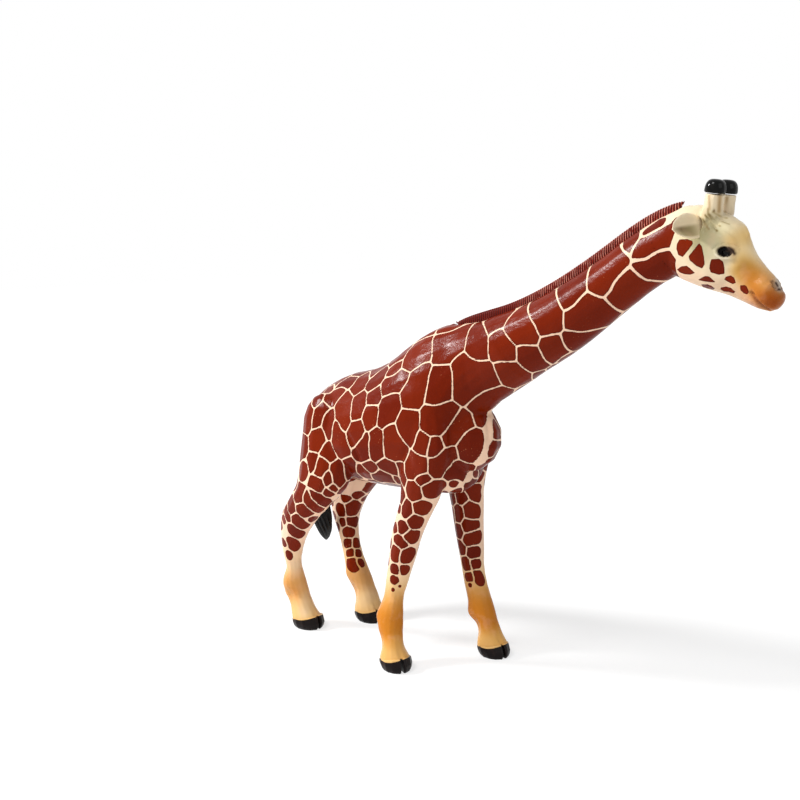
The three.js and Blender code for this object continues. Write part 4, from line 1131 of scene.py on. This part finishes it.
# %% Spray the head
head_dabs = [  # pixel, radius in millimetres, colour and strength
    (690, 226, 7.0, (214, 198, 160), 0.6),
    (702, 240, 6.0, (158, 150, 110), 0.85),
    (712, 232, 4.5, (152, 144, 104), 0.85),
    (709, 248, 4.5, (172, 164, 130), 0.75),
    (716, 244, 3.5, (178, 172, 138), 0.6),
    (733, 240, 3.0, (230, 186, 114), 0.75),
    (744, 237, 3.4, (220, 178, 104), 0.7),
    (724, 228, 3.2, (238, 226, 188), 0.6),
    (742, 257, 3.0, (236, 200, 130), 0.6),
    (746, 268, 3.4, (176, 128, 52), 0.8),
    (738, 272, 2.6, (190, 146, 70), 0.6),
    (752, 277, 4.0, (184, 118, 40), 0.85),
    (757, 289, 4.5, (180, 104, 26), 0.9),
    (767, 297, 4.5, (158, 78, 14), 0.95),
    (775, 303, 3.6, (140, 60, 12), 0.95),
    (781, 296, 3.0, (160, 84, 28), 0.8),
    # painted shade under the jaw, in this dab and the next two
    (713, 284, 4.0, (214, 178, 148), 0.6),
    (730, 292, 3.5, (206, 164, 132), 0.7),
    (745, 299, 3.0, (206, 160, 126), 0.7),
    (695, 277, 3.5, (222, 192, 162), 0.5),
    # painted shade below the mouth
    (755, 306, 2.5, (186, 126, 92), 0.8),
    (716, 255, 3.0, (198, 190, 160), 0.6),
    (764, 283, 3.0, (206, 146, 78), 0.8),
    # a grey painted highlight on the nostril, in this dab and the next
    (777, 284, 1.6, (160, 150, 140), 0.7),
    (779, 290, 1.3, (176, 168, 160), 0.6),
    (724, 258.5, 2.2, (206, 190, 158), 0.7),
]
back_of_head = 1 - ramp(head_points @ neck_direction, head_seam, head_seam + 12)
head_ground = cover(plain((232, 214, 182), len(head_points)), cream, back_of_head)
head_ground = spray(head_points, head_ground, head_dabs, both=True)
print("mean colour of the head:", head_ground.mean(0).round())

# %% Draw on the head
head_lines = [  # pixels, width in millimetres, colour and strength: mouth, eye's corner, nostril, then hairs
    (mouth[2:], 0.5, (84, 26, 10), 0.85),
    ([(729.5, 248.5), (733, 250.5), (734.5, 253.5)], 0.5, (52, 34, 20), 0.9),
    # painted highlight: the nostril's pale ring; the two lines after it are its dark fold
    ([(776.2, 280.7), (779, 284.3), (779.2, 287.6)], 0.6, (186, 176, 164), 0.9),
    ([(772.7, 281.3), (773.4, 286), (776.8, 289.4), (780, 289.4)], 0.36, (44, 24, 18), 0.95),
    ([(775.8, 283), (777.6, 286)], 0.3, (30, 18, 16), 0.95),
    (ear_hairs[0], 0.3, (112, 92, 50), 0.85),
    (ear_hairs[1], 0.26, (124, 104, 62), 0.8),
    ([(708, 209), (708, 214), (711, 219)], 0.3, (120, 100, 60), 0.7),
    ([(713, 212), (720, 216), (727, 218)], 0.28, (150, 128, 84), 0.7),
    ([(716, 217), (723, 222), (729, 224)], 0.26, (150, 128, 84), 0.6),
    ([(703, 219), (705, 224), (709, 229)], 0.3, (130, 112, 70), 0.7),
    ([(714.5, 194), (714, 211)], 0.3, (104, 80, 48), 0.9),
    ([(709, 196), (709.5, 209)], 0.4, (170, 142, 100), 0.7),
    ([(719.5, 195), (719, 211)], 0.7, (164, 132, 88), 0.8),
    ([(727, 198), (726, 212)], 0.5, (170, 140, 98), 0.7),
]
head_ground = draw(head_points, head_ground, head_lines)
rim, ahead, above = eye_rim(head_points)
# painted shade: a dark band just under the upper lid
lid_shade = np.exp(-((rim - 1.0) / 0.12) ** 2) * ramp(above, -0.2, 0.6)
lower_lid = np.exp(-((rim - 1.27) / 0.14) ** 2) * ramp(-above, 0.2, 0.9) * (1 - ramp(ahead, 0.6, 1.6))
head_ground = cover(head_ground, (70, 48, 32), 0.85 * lid_shade)
head_ground = cover(head_ground, (240, 230, 212), 0.6 * lower_lid)
head_ground = cover(head_ground, (8, 7, 7), 1 - ramp(rim, 0.98, 1.08))
print("points in the black of the eyes:", int((rim < 1).sum()))

# %% [markdown]
# ## The painted finish
# The patches are brown paint over the cream ground, brushed by hand and then varnished. So one material
# wears both: the depth that the mesh carries decides which of them shows, a little noise makes the brush's
# edge uneven, and each patch has its own tone. Fine grain in the bump and a varying roughness break up the
# gloss.

# %% Skin material
skin = Paint("painted_skin", Specular_IOR_Level=0.06)
inside = skin.attribute("depth") + (skin.noise(650.0, 2.0) - 0.5) * 0.3
patch = inside.between(0.2, 0.31)
mottle = skin.noise(160.0, 4.0, 0.6)
brown = skin.mix(colour(92, 18, 2), colour(120, 33, 4), skin.attribute("tone") * 0.5 + mottle * 0.5)
brown = skin.mix(brown, colour(70, 16, 5), inside.between(0.75, 0.3) * 0.65)
specks = skin.noise(1500.0, 1.0).between(0.7, 0.78) * skin.noise(70.0, 2.0).between(0.5, 0.62)
brown = skin.mix(brown, colour(206, 128, 84), specks * 0.45)
stain = skin.noise(240.0).between(0.5, 0.75) * 0.15
ground = skin.mix(skin.attribute("ground", "Color"), colour(230, 182, 152), stain)
grain = skin.noise(1100.0, 3.0) * 0.6 + skin.noise(300.0, 2.0) * 0.8 + patch * 0.5
skin_material = skin.finish(
    Base_Color=skin.mix(ground, brown, patch),
    Roughness=skin.noise(300.0, 3.0) * 0.3 + 0.08,
    Normal=skin.bump(grain, 0.00018, 0.6),
)
print("painted skin:", len(skin.tree.nodes), "nodes")

# %% [markdown]
# ## Cut the skin into its pieces
# The skin is cut where the CAD pieces meet. Each piece keeps the whole skin's normals along its cut, so
# that no line shows there, and the open end is closed by a fan of faces that dips a little into the piece.
# What the material needs to know goes onto the mesh as attributes: the depth, the patch's tone and the
# ground colour.


# %% Close the cut ends
def fan_closed(faces, points, dip=0.8):
    """Fans of triangles over the open rims, and each fan's middle point, moved by dip into the piece."""
    edges = np.concatenate([faces[:, [i, (i + 1) % 4]] for i in range(4)])
    key = edges[:, 0] * len(points) + edges[:, 1]
    rim = edges[~np.isin(key, edges[:, 1] * len(points) + edges[:, 0])]
    ring_of = islands(rim, len(points))[rim[:, 0]]
    inside = points[np.unique(faces)].mean(0)
    fans, tips = [], []
    for ring in np.unique(ring_of):
        start, end = rim[ring_of == ring].T
        middle = points[start].mean(0)
        fans.append(np.column_stack([end, start, np.full(len(start), len(points) + len(tips))]))
        tips.append(middle + dip * (inside - middle) / np.linalg.norm(inside - middle))
    return fans, np.array(tips).reshape(-1, 3)


print("open rims of the head's skin:", len(fan_closed(head_faces, head_points)[0]))


# %% Attributes and pieces
def note(mesh, name, values):
    """Keeps one number or one screen colour for each point of a mesh, as an attribute that materials read."""
    if values.ndim == 1:
        made = mesh.attributes.new(name, "FLOAT", "POINT")
        made.data.foreach_set("value", values.astype(np.float32))
    else:
        made = mesh.attributes.new(name, "FLOAT_COLOR", "POINT")
        linear = np.column_stack([screen_to_linear(values), np.ones(len(values))])
        made.data.foreach_set("color", linear.astype(np.float32).ravel())


def add_piece(mesh, node, material):
    """Puts a finished mesh into the scene as a piece that stands for a CAD node."""
    piece = in_scene(mesh.name, mesh)
    mesh.materials.append(material)
    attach(piece, "root")
    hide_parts(node)


# %% A piece of the skin
def skin_piece(node, chosen, points, faces, normals, ground):
    """A closed piece from some faces of the skin, with the skin's normals, ground colour and patch depth."""
    fans, tips = fan_closed(faces[chosen], points)
    used = np.unique(faces[chosen])
    number = np.full(len(points) + len(tips), -1)
    number[used] = np.arange(len(used))
    number[len(points):] = len(used) + np.arange(len(tips))
    places = np.concatenate([points[used], tips])
    polygons = number[faces[chosen]].tolist() + [face for fan in fans for face in number[fan].tolist()]
    mesh = mesh_from(f"skin_{node}", places, polygons)
    depth, owner = painted_depth(places)
    note(mesh, "depth", depth - 0.14 * ramp(places @ neck_direction, neck_seam, head_seam))
    note(mesh, "tone", (owner * 0.618) % 1)
    note(mesh, "ground", np.concatenate([ground[used], plain((255, 255, 255), len(tips))]))
    outward = np.concatenate([normals[used], np.tile([[0.0, 0.0, 1.0]], (len(tips), 1))])
    mesh.normals_split_custom_set_from_vertices(outward.tolist())
    print(node, len(polygons), "faces,", len(tips), "cuts")
    add_piece(mesh, node, skin_material)


# %% Which face belongs to which node
def nearest_node(faces, points, base, names, reach=1.5):
    """For each face, base, or the one of the named nodes whose surface is nearer than the base's.

    Only the largest island of faces goes to a node, so no stray face does.
    """
    middles = points[faces].mean(1)
    region = np.full(len(faces), base, dtype=object)
    trees = {
        name: BVHTree.FromPolygons(*[part.tolist() for part in merged_copy(name)])
        for name in (base, *names)
    }
    for name in names:
        low, high = node_box(name)
        inside = np.flatnonzero((middles > low - 1).all(1) & (middles < high + 1).all(1))
        for index, place in zip(inside, middles[inside].tolist()):
            away, other = (trees[node].find_nearest(Vector(place), reach)[3] for node in (name, base))
            if away is not None and (other is None or away < other):
                region[index] = name
    for name in names:
        chosen = np.flatnonzero(region == name)
        region[chosen[~largest_island(faces[chosen], len(points))]] = base
    return region


region = nearest_node(skin_faces, skin_points, "torso", ["tail"])
middles = skin_points[skin_faces].mean(1)
up_neck = middles @ neck_direction
region[up_neck > neck_seam] = "neck"
region[up_neck > head_seam] = "none"
pair = np.where(middles[:, 0] > stance_middle[0] + 7, "front", "hind")
hand = np.where(middles[:, 1] > stance_middle[1] + 2, "left", "right")
below = (middles[:, 2] < leg_seam) & (region != "tail")
region[below] = np.char.add(np.char.add(pair, "_leg_"), hand)[below]
for node in ["torso", "neck", *leg_nodes, "tail"]:
    skin_piece(node, region == node, skin_points, skin_faces, skin_normals, skin_ground)

# %% The head and its horns
head_region = nearest_node(head_faces, head_points, "head", horn_nodes)
head_region[head_points[head_faces].mean(1) @ neck_direction <= head_seam] = "none"
for node in ["head", *horn_nodes]:
    skin_piece(node, head_region == node, head_points, head_faces, head_normals, head_ground)

# %% [markdown]
# ## Loose pieces from rings of points
# The ears, the horns' caps, the eyes, the mane and the tuft are small castings of their own. Each is a
# stack of closed rings along a path, written as a function of two parameters: how far along, and which way
# round.


# %% Rings to a closed mesh
hands = ((-1, "right"), (1, "left"))


def with_ends(rings):
    """The points of rings (ring, place, xyz) in one list, followed by the middles of both end rings."""
    return np.concatenate([rings.reshape(-1, 3), [rings[0].mean(0), rings[-1].mean(0)]])


def ring_mesh(name, rings):
    """A closed mesh from an array of rings (ring, place, xyz) in millimetres; a point closes either end."""
    count, around = rings.shape[:2]
    grid = np.arange(count * around).reshape(count, around)
    after = np.roll(grid, -1, 1)
    sides = np.stack([grid[:-1], after[:-1], after[1:], grid[1:]], 2).reshape(-1, 4)
    bottom = np.column_stack([after[0], grid[0], np.full(around, count * around)])
    top = np.column_stack([grid[-1], after[-1], np.full(around, count * around + 1)])
    return mesh_from(name, with_ends(rings), sides.tolist() + bottom.tolist() + top.tolist())


def turns(count):
    """Angles all the way round, without the last one that would meet the first."""
    return np.linspace(0, 2 * np.pi, count, endpoint=False)


def squarer(values, power):
    """Cosines or sines raised to a power below 1 with their sign kept, which squares an ellipse."""
    return np.sign(values) * np.abs(values) ** power


def laid_along(path, *offsets):
    """Rings round a path: each offset is an array (ring, place) of millimetres and its direction."""
    rings = path[:, None, :]
    for amounts, direction in offsets:
        rings = rings + amounts[:, :, None] * direction
    return rings


print("one turn in 48 steps of", round(math.degrees(turns(48)[1]), 1), "degrees")

# %% [markdown]
# ## Ears
# An ear is a thick leaf: it is widest before the middle of its length, and its long edges curl forwards
# round a hollow. The back is pale with a few spots, and the hollow is sprayed olive, with painted shade that
# darkens it deep inside towards the tip. The widths are noted at a few shares of the length and evened out
# by a moving mean.

# %% The ear's spots and directions
ear_spots = [  # on its back: share of its length, place across it from -1 to 1, radius in millimetres
    (0.36, 0.15, 0.8), (0.52, 0.3, 0.75), (0.68, 0.2, 0.7), (0.83, 0.25, 0.5),
    (0.44, 0.78, 0.55), (0.6, 0.8, 0.55), (0.76, 0.75, 0.45), (0.6, -0.3, 0.6),
]
ear_lean = math.radians(24)
ear_across = np.array([-math.sin(ear_lean), 0.0, math.cos(ear_lean)])
ear_facing = np.array([math.cos(ear_lean), 0.0, math.sin(ear_lean)])
print("spots on the back of an ear:", len(ear_spots))


# %% The ear's shape
def evened(values, window=9):
    """A moving mean that keeps both ends, for widths that are noted at a few shares."""
    padded = np.concatenate([np.repeat(values[0], window // 2), values, np.repeat(values[-1], window // 2)])
    return np.convolve(padded, np.ones(window) / window, mode="valid")


def ear_rings(side):
    """Rings from root to tip, whose edges curl forwards with the square of the place across.

    Returns the rings and, for each of their points, the hollow's share, its shade and the depth in the spots.
    """
    low, high = node_box("ear_left" if side > 0 else "ear_right")
    inner, outer = sorted(np.abs(np.array([low[1], high[1]]) - stance_middle[1]))
    u = np.sin(np.linspace(0, np.pi / 2, 70))
    half = np.interp(u, [0, 0.19, 0.3, 0.5, 0.68, 0.84, 0.94, 1], [3.5, 3.8, 4.0, 4.0, 3.5, 2.6, 1.6, 0.1])
    thick = np.interp(u, [0, 0.19, 0.35, 0.6, 1], [1.5, 1.3, 0.75, 0.55, 0.15])
    curl = np.interp(u, [0, 0.2, 0.36, 0.7, 1], [0.05, 0.4, 0.95, 0.9, 0.1])
    half, thick, curl = (evened(widths)[:, None] for widths in (half, thick, curl))
    turn = turns(72)
    wide = squarer(np.cos(turn), 0.85)
    camber = np.where(wide > 0, 1.9 * ramp(wide, 0.05, 0.9), 1.5 * wide ** 2)
    forwards = curl * camber + thick * np.sin(turn) - 1.1 * curl
    out = stance_middle[1] + side * (inner + (outer - inner) * u)
    path = (low + high) / 2 * [1, 0, 1] + np.outer(out, sideways) - np.outer(0.8 * u ** 2, [0, 0, 1])
    rings = laid_along(path, (half * wide, ear_across), (forwards, ear_facing))
    in_front = np.clip(np.sin(turn), 0, 1) ** 0.5
    hollow = in_front * (1 - ramp(wide, -0.1, 0.25)) * (1 - ramp(-wide, 0.7, 0.95)) * curl
    # painted shade deep in the hollow, darkest towards the tip
    shade = hollow * ramp(wide, -0.7, 0.1) * ramp(u, 0.35, 0.75)[:, None]
    depth = np.full(rings.shape[:2], outside_all)
    for share, place, radius in ear_spots:
        behind = np.abs(wide - place) + 9 * (np.sin(turn) > 0)
        middle = rings[np.abs(u - share).argmin(), behind.argmin()]
        depth = np.maximum(depth, radius - np.linalg.norm(rings - middle, axis=2))
    layers = [rings, hollow, shade, depth]
    return [layer[:, ::-1] for layer in layers] if side > 0 else layers


# %% Ears
for side, hand in hands:
    rings, hollow, shade, spots = ear_rings(side)
    hollow, shade = (np.append(layer, [0, 0]) for layer in (hollow, shade))
    spots = np.append(spots, [outside_all, outside_all])
    mesh = ring_mesh(f"leaf_{hand}", rings)
    tint = cover(plain((240, 222, 188), len(hollow)), (144, 130, 90), 0.9 * hollow)
    # painted shade: dark brown deep in the hollow, over the olive
    note(mesh, "ground", cover(tint, (74, 56, 34), 0.75 * shade ** 1.5))
    note(mesh, "depth", spots + 0.2)
    note(mesh, "tone", np.full(len(spots), 0.2))
    add_piece(mesh, f"ear_{hand}", skin_material)
    print(mesh.name, len(mesh.vertices), "points")

# %% [markdown]
# ## Horn caps
# The dark knobs on the horns are dipped in gloss paint. The profile is a low dome with a rounded shoulder.
# A fine seam of the mould runs over the middle.

# %% Gloss paint
gloss = Paint("gloss_black", Specular_IOR_Level=0.12)
worn = gloss.noise(420.0, 3.0).between(0.45, 0.8)
gloss_material = gloss.finish(
    Base_Color=gloss.mix(colour(3, 3, 3), colour(18, 16, 14), worn),
    Roughness=worn * 0.14 + 0.1,
    Normal=gloss.bump(gloss.noise(700.0, 2.0), 0.00008, 0.4),
)
print("gloss paint:", len(gloss.tree.nodes), "nodes")

# %% Horn caps
horn_lean = math.radians(8)
horn_axis = np.array([math.sin(horn_lean), 0.0, math.cos(horn_lean)])
horn_fore = np.array([math.cos(horn_lean), 0.0, -math.sin(horn_lean)])


def cap_rings(node):
    """A dome: radius and height follow a quarter of a rounded square; a seam groove runs fore and aft."""
    low, high = node_box(node)
    middle = (low + high) / 2
    top = np.array([middle[0] + 2.1 * math.sin(horn_lean), middle[1], high[2]]) - 0.12 * horn_axis
    t = np.linspace(0, np.pi / 2, 22)
    radius = np.concatenate([[2.6, 2.9], 3.18 * np.cos(t) ** 0.62])
    height = np.concatenate([[-4.1, -4.1], -3.75 + 3.75 * np.sin(t) ** 0.8])
    radius[-1] = 0.05
    turn = turns(60)
    seam = radius[:, None] * (1 - 0.035 * np.exp(-(np.sin(turn) / 0.07) ** 2))
    path = top + height[:, None] * horn_axis
    return laid_along(path, (seam * np.cos(turn), horn_fore), (seam * np.sin(turn), sideways))


for side, hand in hands:
    node = f"ossicone_cap_{hand}"
    add_piece(ring_mesh(f"dome_{hand}", cap_rings(node)), node, gloss_material)
print("caps reach up to", node_box(node)[1, 2].round(2), "mm")

# %% [markdown]
# ## Eyes
# Each eye is a drop of black gloss in its socket. It is an ellipsoid whose flanks stay hidden behind the
# lids.

# %% Eyes
eye_half_length, eye_half_height, eye_half_depth = 2.3, 1.85, 1.5
for side, hand in hands:
    middle = eye_places[side] - side * 1.0 * sideways - 0.1 * eye_high
    t = np.linspace(-np.pi / 2 + 0.02, np.pi / 2 - 0.02, 28)
    path = middle + (eye_half_length * np.sin(t))[:, None] * eye_long
    turn = turns(48)
    out = eye_half_depth * np.outer(np.cos(t), np.cos(turn))
    up = eye_half_height * np.outer(np.cos(t), np.sin(turn))
    rings = laid_along(path, (out, sideways), (up, eye_high))
    add_piece(ring_mesh(f"eyeball_{hand}", rings), f"eye_{hand}", gloss_material)
print("eyes:", 2 * eye_half_length, "mm long")

# %% [markdown]
# ## The mane
# The mane is one stiff comb of short upright ribs. Its top follows the CAD mane's outline, which is taken
# from that mesh in short stretches and evened out. Ribs are a wave in the width and the height. Towards the
# withers the comb sinks into the back, and at the nape it ends in a rounded edge.

# %% The crown line of the CAD mane
mane_start, mane_end = mane_points[mane_points[:, 0].argmin()], mane_points[mane_points[:, 0].argmax()]
chord = (mane_end - mane_start) * [1, 0, 1]
chord_length = np.linalg.norm(chord)
chord = chord / chord_length
upward = np.array([-chord[2], 0.0, chord[0]])
along = (mane_points - mane_start) @ chord
over = (mane_points - mane_start) @ upward
stretches = np.linspace(0, chord_length, 40)
crown = np.array([over[np.abs(along - stretch) < 2.4].max() for stretch in stretches])
crown = np.polyval(np.polyfit(stretches, crown, 7), stretches)
print("the mane's chord is", chord_length.round(1), "mm long")

# %% The comb
rib_pitch = 0.95
first_rib, half_comb_height = 1.2, 1.9
mane_reach = np.linspace(first_rib, chord_length - 3.8, 1150)
rib = 0.5 + 0.5 * np.cos(2 * np.pi * mane_reach / rib_pitch)
from_ends = np.minimum(2 * (mane_reach - first_rib), mane_reach[-1] - mane_reach)
ends = np.sqrt(np.clip(ramp(from_ends, -0.1, 5), 0.02, 1))
ends = np.maximum(ends, 0.3 * (from_ends > 0.1) * (mane_reach < 20))
lowered = 1.8 * (1 - ramp(mane_reach, -8, 20))
turn = turns(28)
half_height = (half_comb_height * ends - 0.5 * lowered)[:, None] * squarer(np.sin(turn), 0.8)
half_width = ((1.3 + 0.25 * rib) * ends)[:, None] * squarer(np.cos(turn), 0.7)
comb_top = np.interp(mane_reach, stretches, crown) - 0.05 - 0.35 * (1 - rib) - lowered
comb_middle = comb_top - half_comb_height * ends + 0.5 * lowered
path = mane_start * [1, 0, 1] + stance_middle * [0, 1, 0] + mane_reach[:, None] * chord
path = path + comb_middle[:, None] * upward
rings = laid_along(path, (half_height, upward), (half_width, sideways), (0.35 * half_height, chord))
comb = ring_mesh("comb", rings)
# the ribs' painted light and shade: how far the crests are lightened and the valleys darkened, weaker towards
# the withers
rib_light_share = rib * (0.6 + 0.4 * ramp(mane_reach, 12, 45))
note(comb, "rib", np.append(np.repeat(rib_light_share, len(turn)), [0, 0]))
print("mane ribs:", round(mane_reach[-1] / rib_pitch))

# %% Mane paint
mane = Paint("mane_brown", Specular_IOR_Level=0.12)
crest = mane.attribute("rib")
# painted shade darkens the valleys between the ribs, and the crests are lighter
rib_shaded_tone = mane.mix(colour(58, 9, 5), colour(138, 36, 20), crest)
# painted highlights on the rib crests, broken up by noise
rib_highlight = crest.between(0.72, 1.0) * mane.noise(420.0, 2.0).between(0.35, 0.55)
mane_material = mane.finish(
    Base_Color=mane.mix(rib_shaded_tone, colour(216, 150, 132), rib_highlight * 0.8),
    Roughness=mane.noise(500.0, 2.0) * 0.2 + 0.35,
    Normal=mane.bump(mane.noise(900.0, 3.0), 0.0001, 0.5),
)
add_piece(comb, "mane", mane_material)
print("mane paint:", len(mane.tree.nodes), "nodes")

# %% [markdown]
# ## The tuft
# The tuft at the tail's end is a brush of glossy black strands, cast as one piece with fluted sides. It
# leaves the tail straight down and curves towards the left, as the CAD tuft does. Its middle line is a
# smooth curve through a few noted rows, and its section is a circle with two waves for the strands.

# %% Tuft
tail_length, tuft_length, tuft_width = 42.5, 27.0, 9.0
tail_root = stance_middle + [-27.82, 0.0, 92.14]
tail_end = tail_root + tail_length * np.array([-0.195, 0.025, -0.9])
tuft_rows = np.array([  # share of the length, then back, left and down, and the half width, each as a share
    [0.0, 0.0, 0.0, 0.0, 0.36],
    [0.15, 0.0, 0.08, 0.13, 0.5],
    [0.4, -0.02, 0.19, 0.36, 0.53],
    [0.65, -0.07, 0.29, 0.59, 0.41],
    [0.87, -0.12, 0.37, 0.77, 0.25],
    [1.0, -0.15, 0.41, 0.87, 0.05],
])
share = np.linspace(0, 1, 70)
fits = [np.polyfit(tuft_rows[:, 0], column, 4) for column in tuft_rows[:, 1:].T]
fitted = np.stack([np.polyval(fit, share) for fit in fits], 1)
path = tail_end + tuft_length * fitted[:, :3] * [1, 1, -1]
down = np.gradient(path, axis=0)
down /= np.linalg.norm(down, axis=1, keepdims=True)
fore = np.cross(sideways, down)
fore /= np.linalg.norm(fore, axis=1, keepdims=True)
left = np.cross(down, fore)
turn = turns(120)
swirl = turn + 1.2 * share[:, None]
flute = 0.93 + 0.07 * np.cos(13 * swirl) + 0.035 * np.cos(29 * swirl + 1.0)
half = (tuft_width * np.maximum(fitted[:, 3], 0.03))[:, None] * flute
fore_and_aft, sideward = half * np.cos(turn), 0.9 * half * np.sin(turn)
rings = laid_along(path, (fore_and_aft, fore[:, None, :]), (sideward, left[:, None, :]))
print("tuft:", rings.reshape(-1, 3).min(0).round(1), rings.reshape(-1, 3).max(0).round(1))

# %% Tuft paint
hair = Paint("tuft_black", Specular_IOR_Level=0.12)
strand = hair.noise(90.0, 4.0, 0.6)
hair_material = hair.finish(
    Base_Color=hair.mix(colour(8, 8, 8), colour(32, 29, 27), strand.between(0.45, 0.75)),
    Roughness=strand * 0.25 + 0.2,
    Normal=hair.bump(hair.noise(800.0, 2.0), 0.0001, 0.5),
)
add_piece(ring_mesh("brush", rings), "tail_tuft", hair_material)
print("tuft paint:", len(hair.tree.nodes), "nodes")

# %% [markdown]
# ## Hooves
# Each foot has two toes. The CAD toes are remeshed finely, and their edges are rounded by the same filter
# as the skin. The black paint ends in a curved rim, higher in front and behind than at the sides, so each
# point keeps its height above that rim.

# %% Hoof paint
horny = Paint("hoof_black", Specular_IOR_Level=0.12)
scuffed = horny.noise(260.0, 4.0, 0.6)
horn_tone = horny.mix(colour(18, 11, 10), colour(54, 36, 30), scuffed.between(0.5, 0.85))
hoof_material = horny.finish(
    Base_Color=horny.mix(horn_tone, colour(*fetlock), horny.attribute("above_rim").between(-0.12, 0.12)),
    Roughness=scuffed * 0.3 + 0.2,
    Normal=horny.bump(horny.noise(700.0, 3.0), 0.0001, 0.5),
)
print("hoof paint:", len(horny.tree.nodes), "nodes")

# %% Hooves
for foot in [f"{pair}_hoof_{hand}" for pair in ("front", "hind") for hand in ("right", "left")]:
    toes = [f"{foot}_{toe}" for toe in ("outer", "inner")]
    corners = np.concatenate([node_box(name) for name in toes])
    back, front, top = corners[:, 0].min(), corners[:, 0].max(), corners[:, 2].max()
    for name in toes:
        points, faces = remeshed([name], voxel=0.22, swell=0.0)
        points = relaxed(points, faces, 10, 0.52)
        points[:, 2] = np.maximum(points[:, 2], 0.0)
        from_waist = (points[:, 0] - back) / (front - back) - 0.45
        rim_height = top - 1.5 + 1.7 * np.clip(2 * from_waist, -1, 1) ** 2
        mesh = mesh_from(f"toe_{name}", points, faces.tolist())
        note(mesh, "above_rim", points[:, 2] - rim_height)
        add_piece(mesh, name, hoof_material)
    print(foot, "has two toes of about", len(points), "points")

# %% [markdown]
# ## The photograph's glint
# The paint is glossy, and the photograph shows a small bright reflection on the shoulder. A small lamp is
# put where the front view sees its mirror image in the skin at that place.


# %% A lamp that is mirrored at a pixel
def glint_lamp(name, x, y, size, power, distance=900.0):
    """A lamp in the direction 2 (n . v) n - v, for the skin's normal n and the direction v to the camera."""
    place, _ = on_skin(front_view, x, y)
    normal = np.array(skin_tree.find_nearest(Vector(place))[1])
    towards = front_view["place"] - place
    towards /= np.linalg.norm(towards)
    direction = 2 * (normal @ towards) * normal - towards
    return lamp(name, tuple((place + distance * direction) * mm), size, power)


glint = glint_lamp("shoulder_glint", 449, 345, 0.16, 9.0)
print(glint.name, "at", [round(value, 3) for value in glint.location])
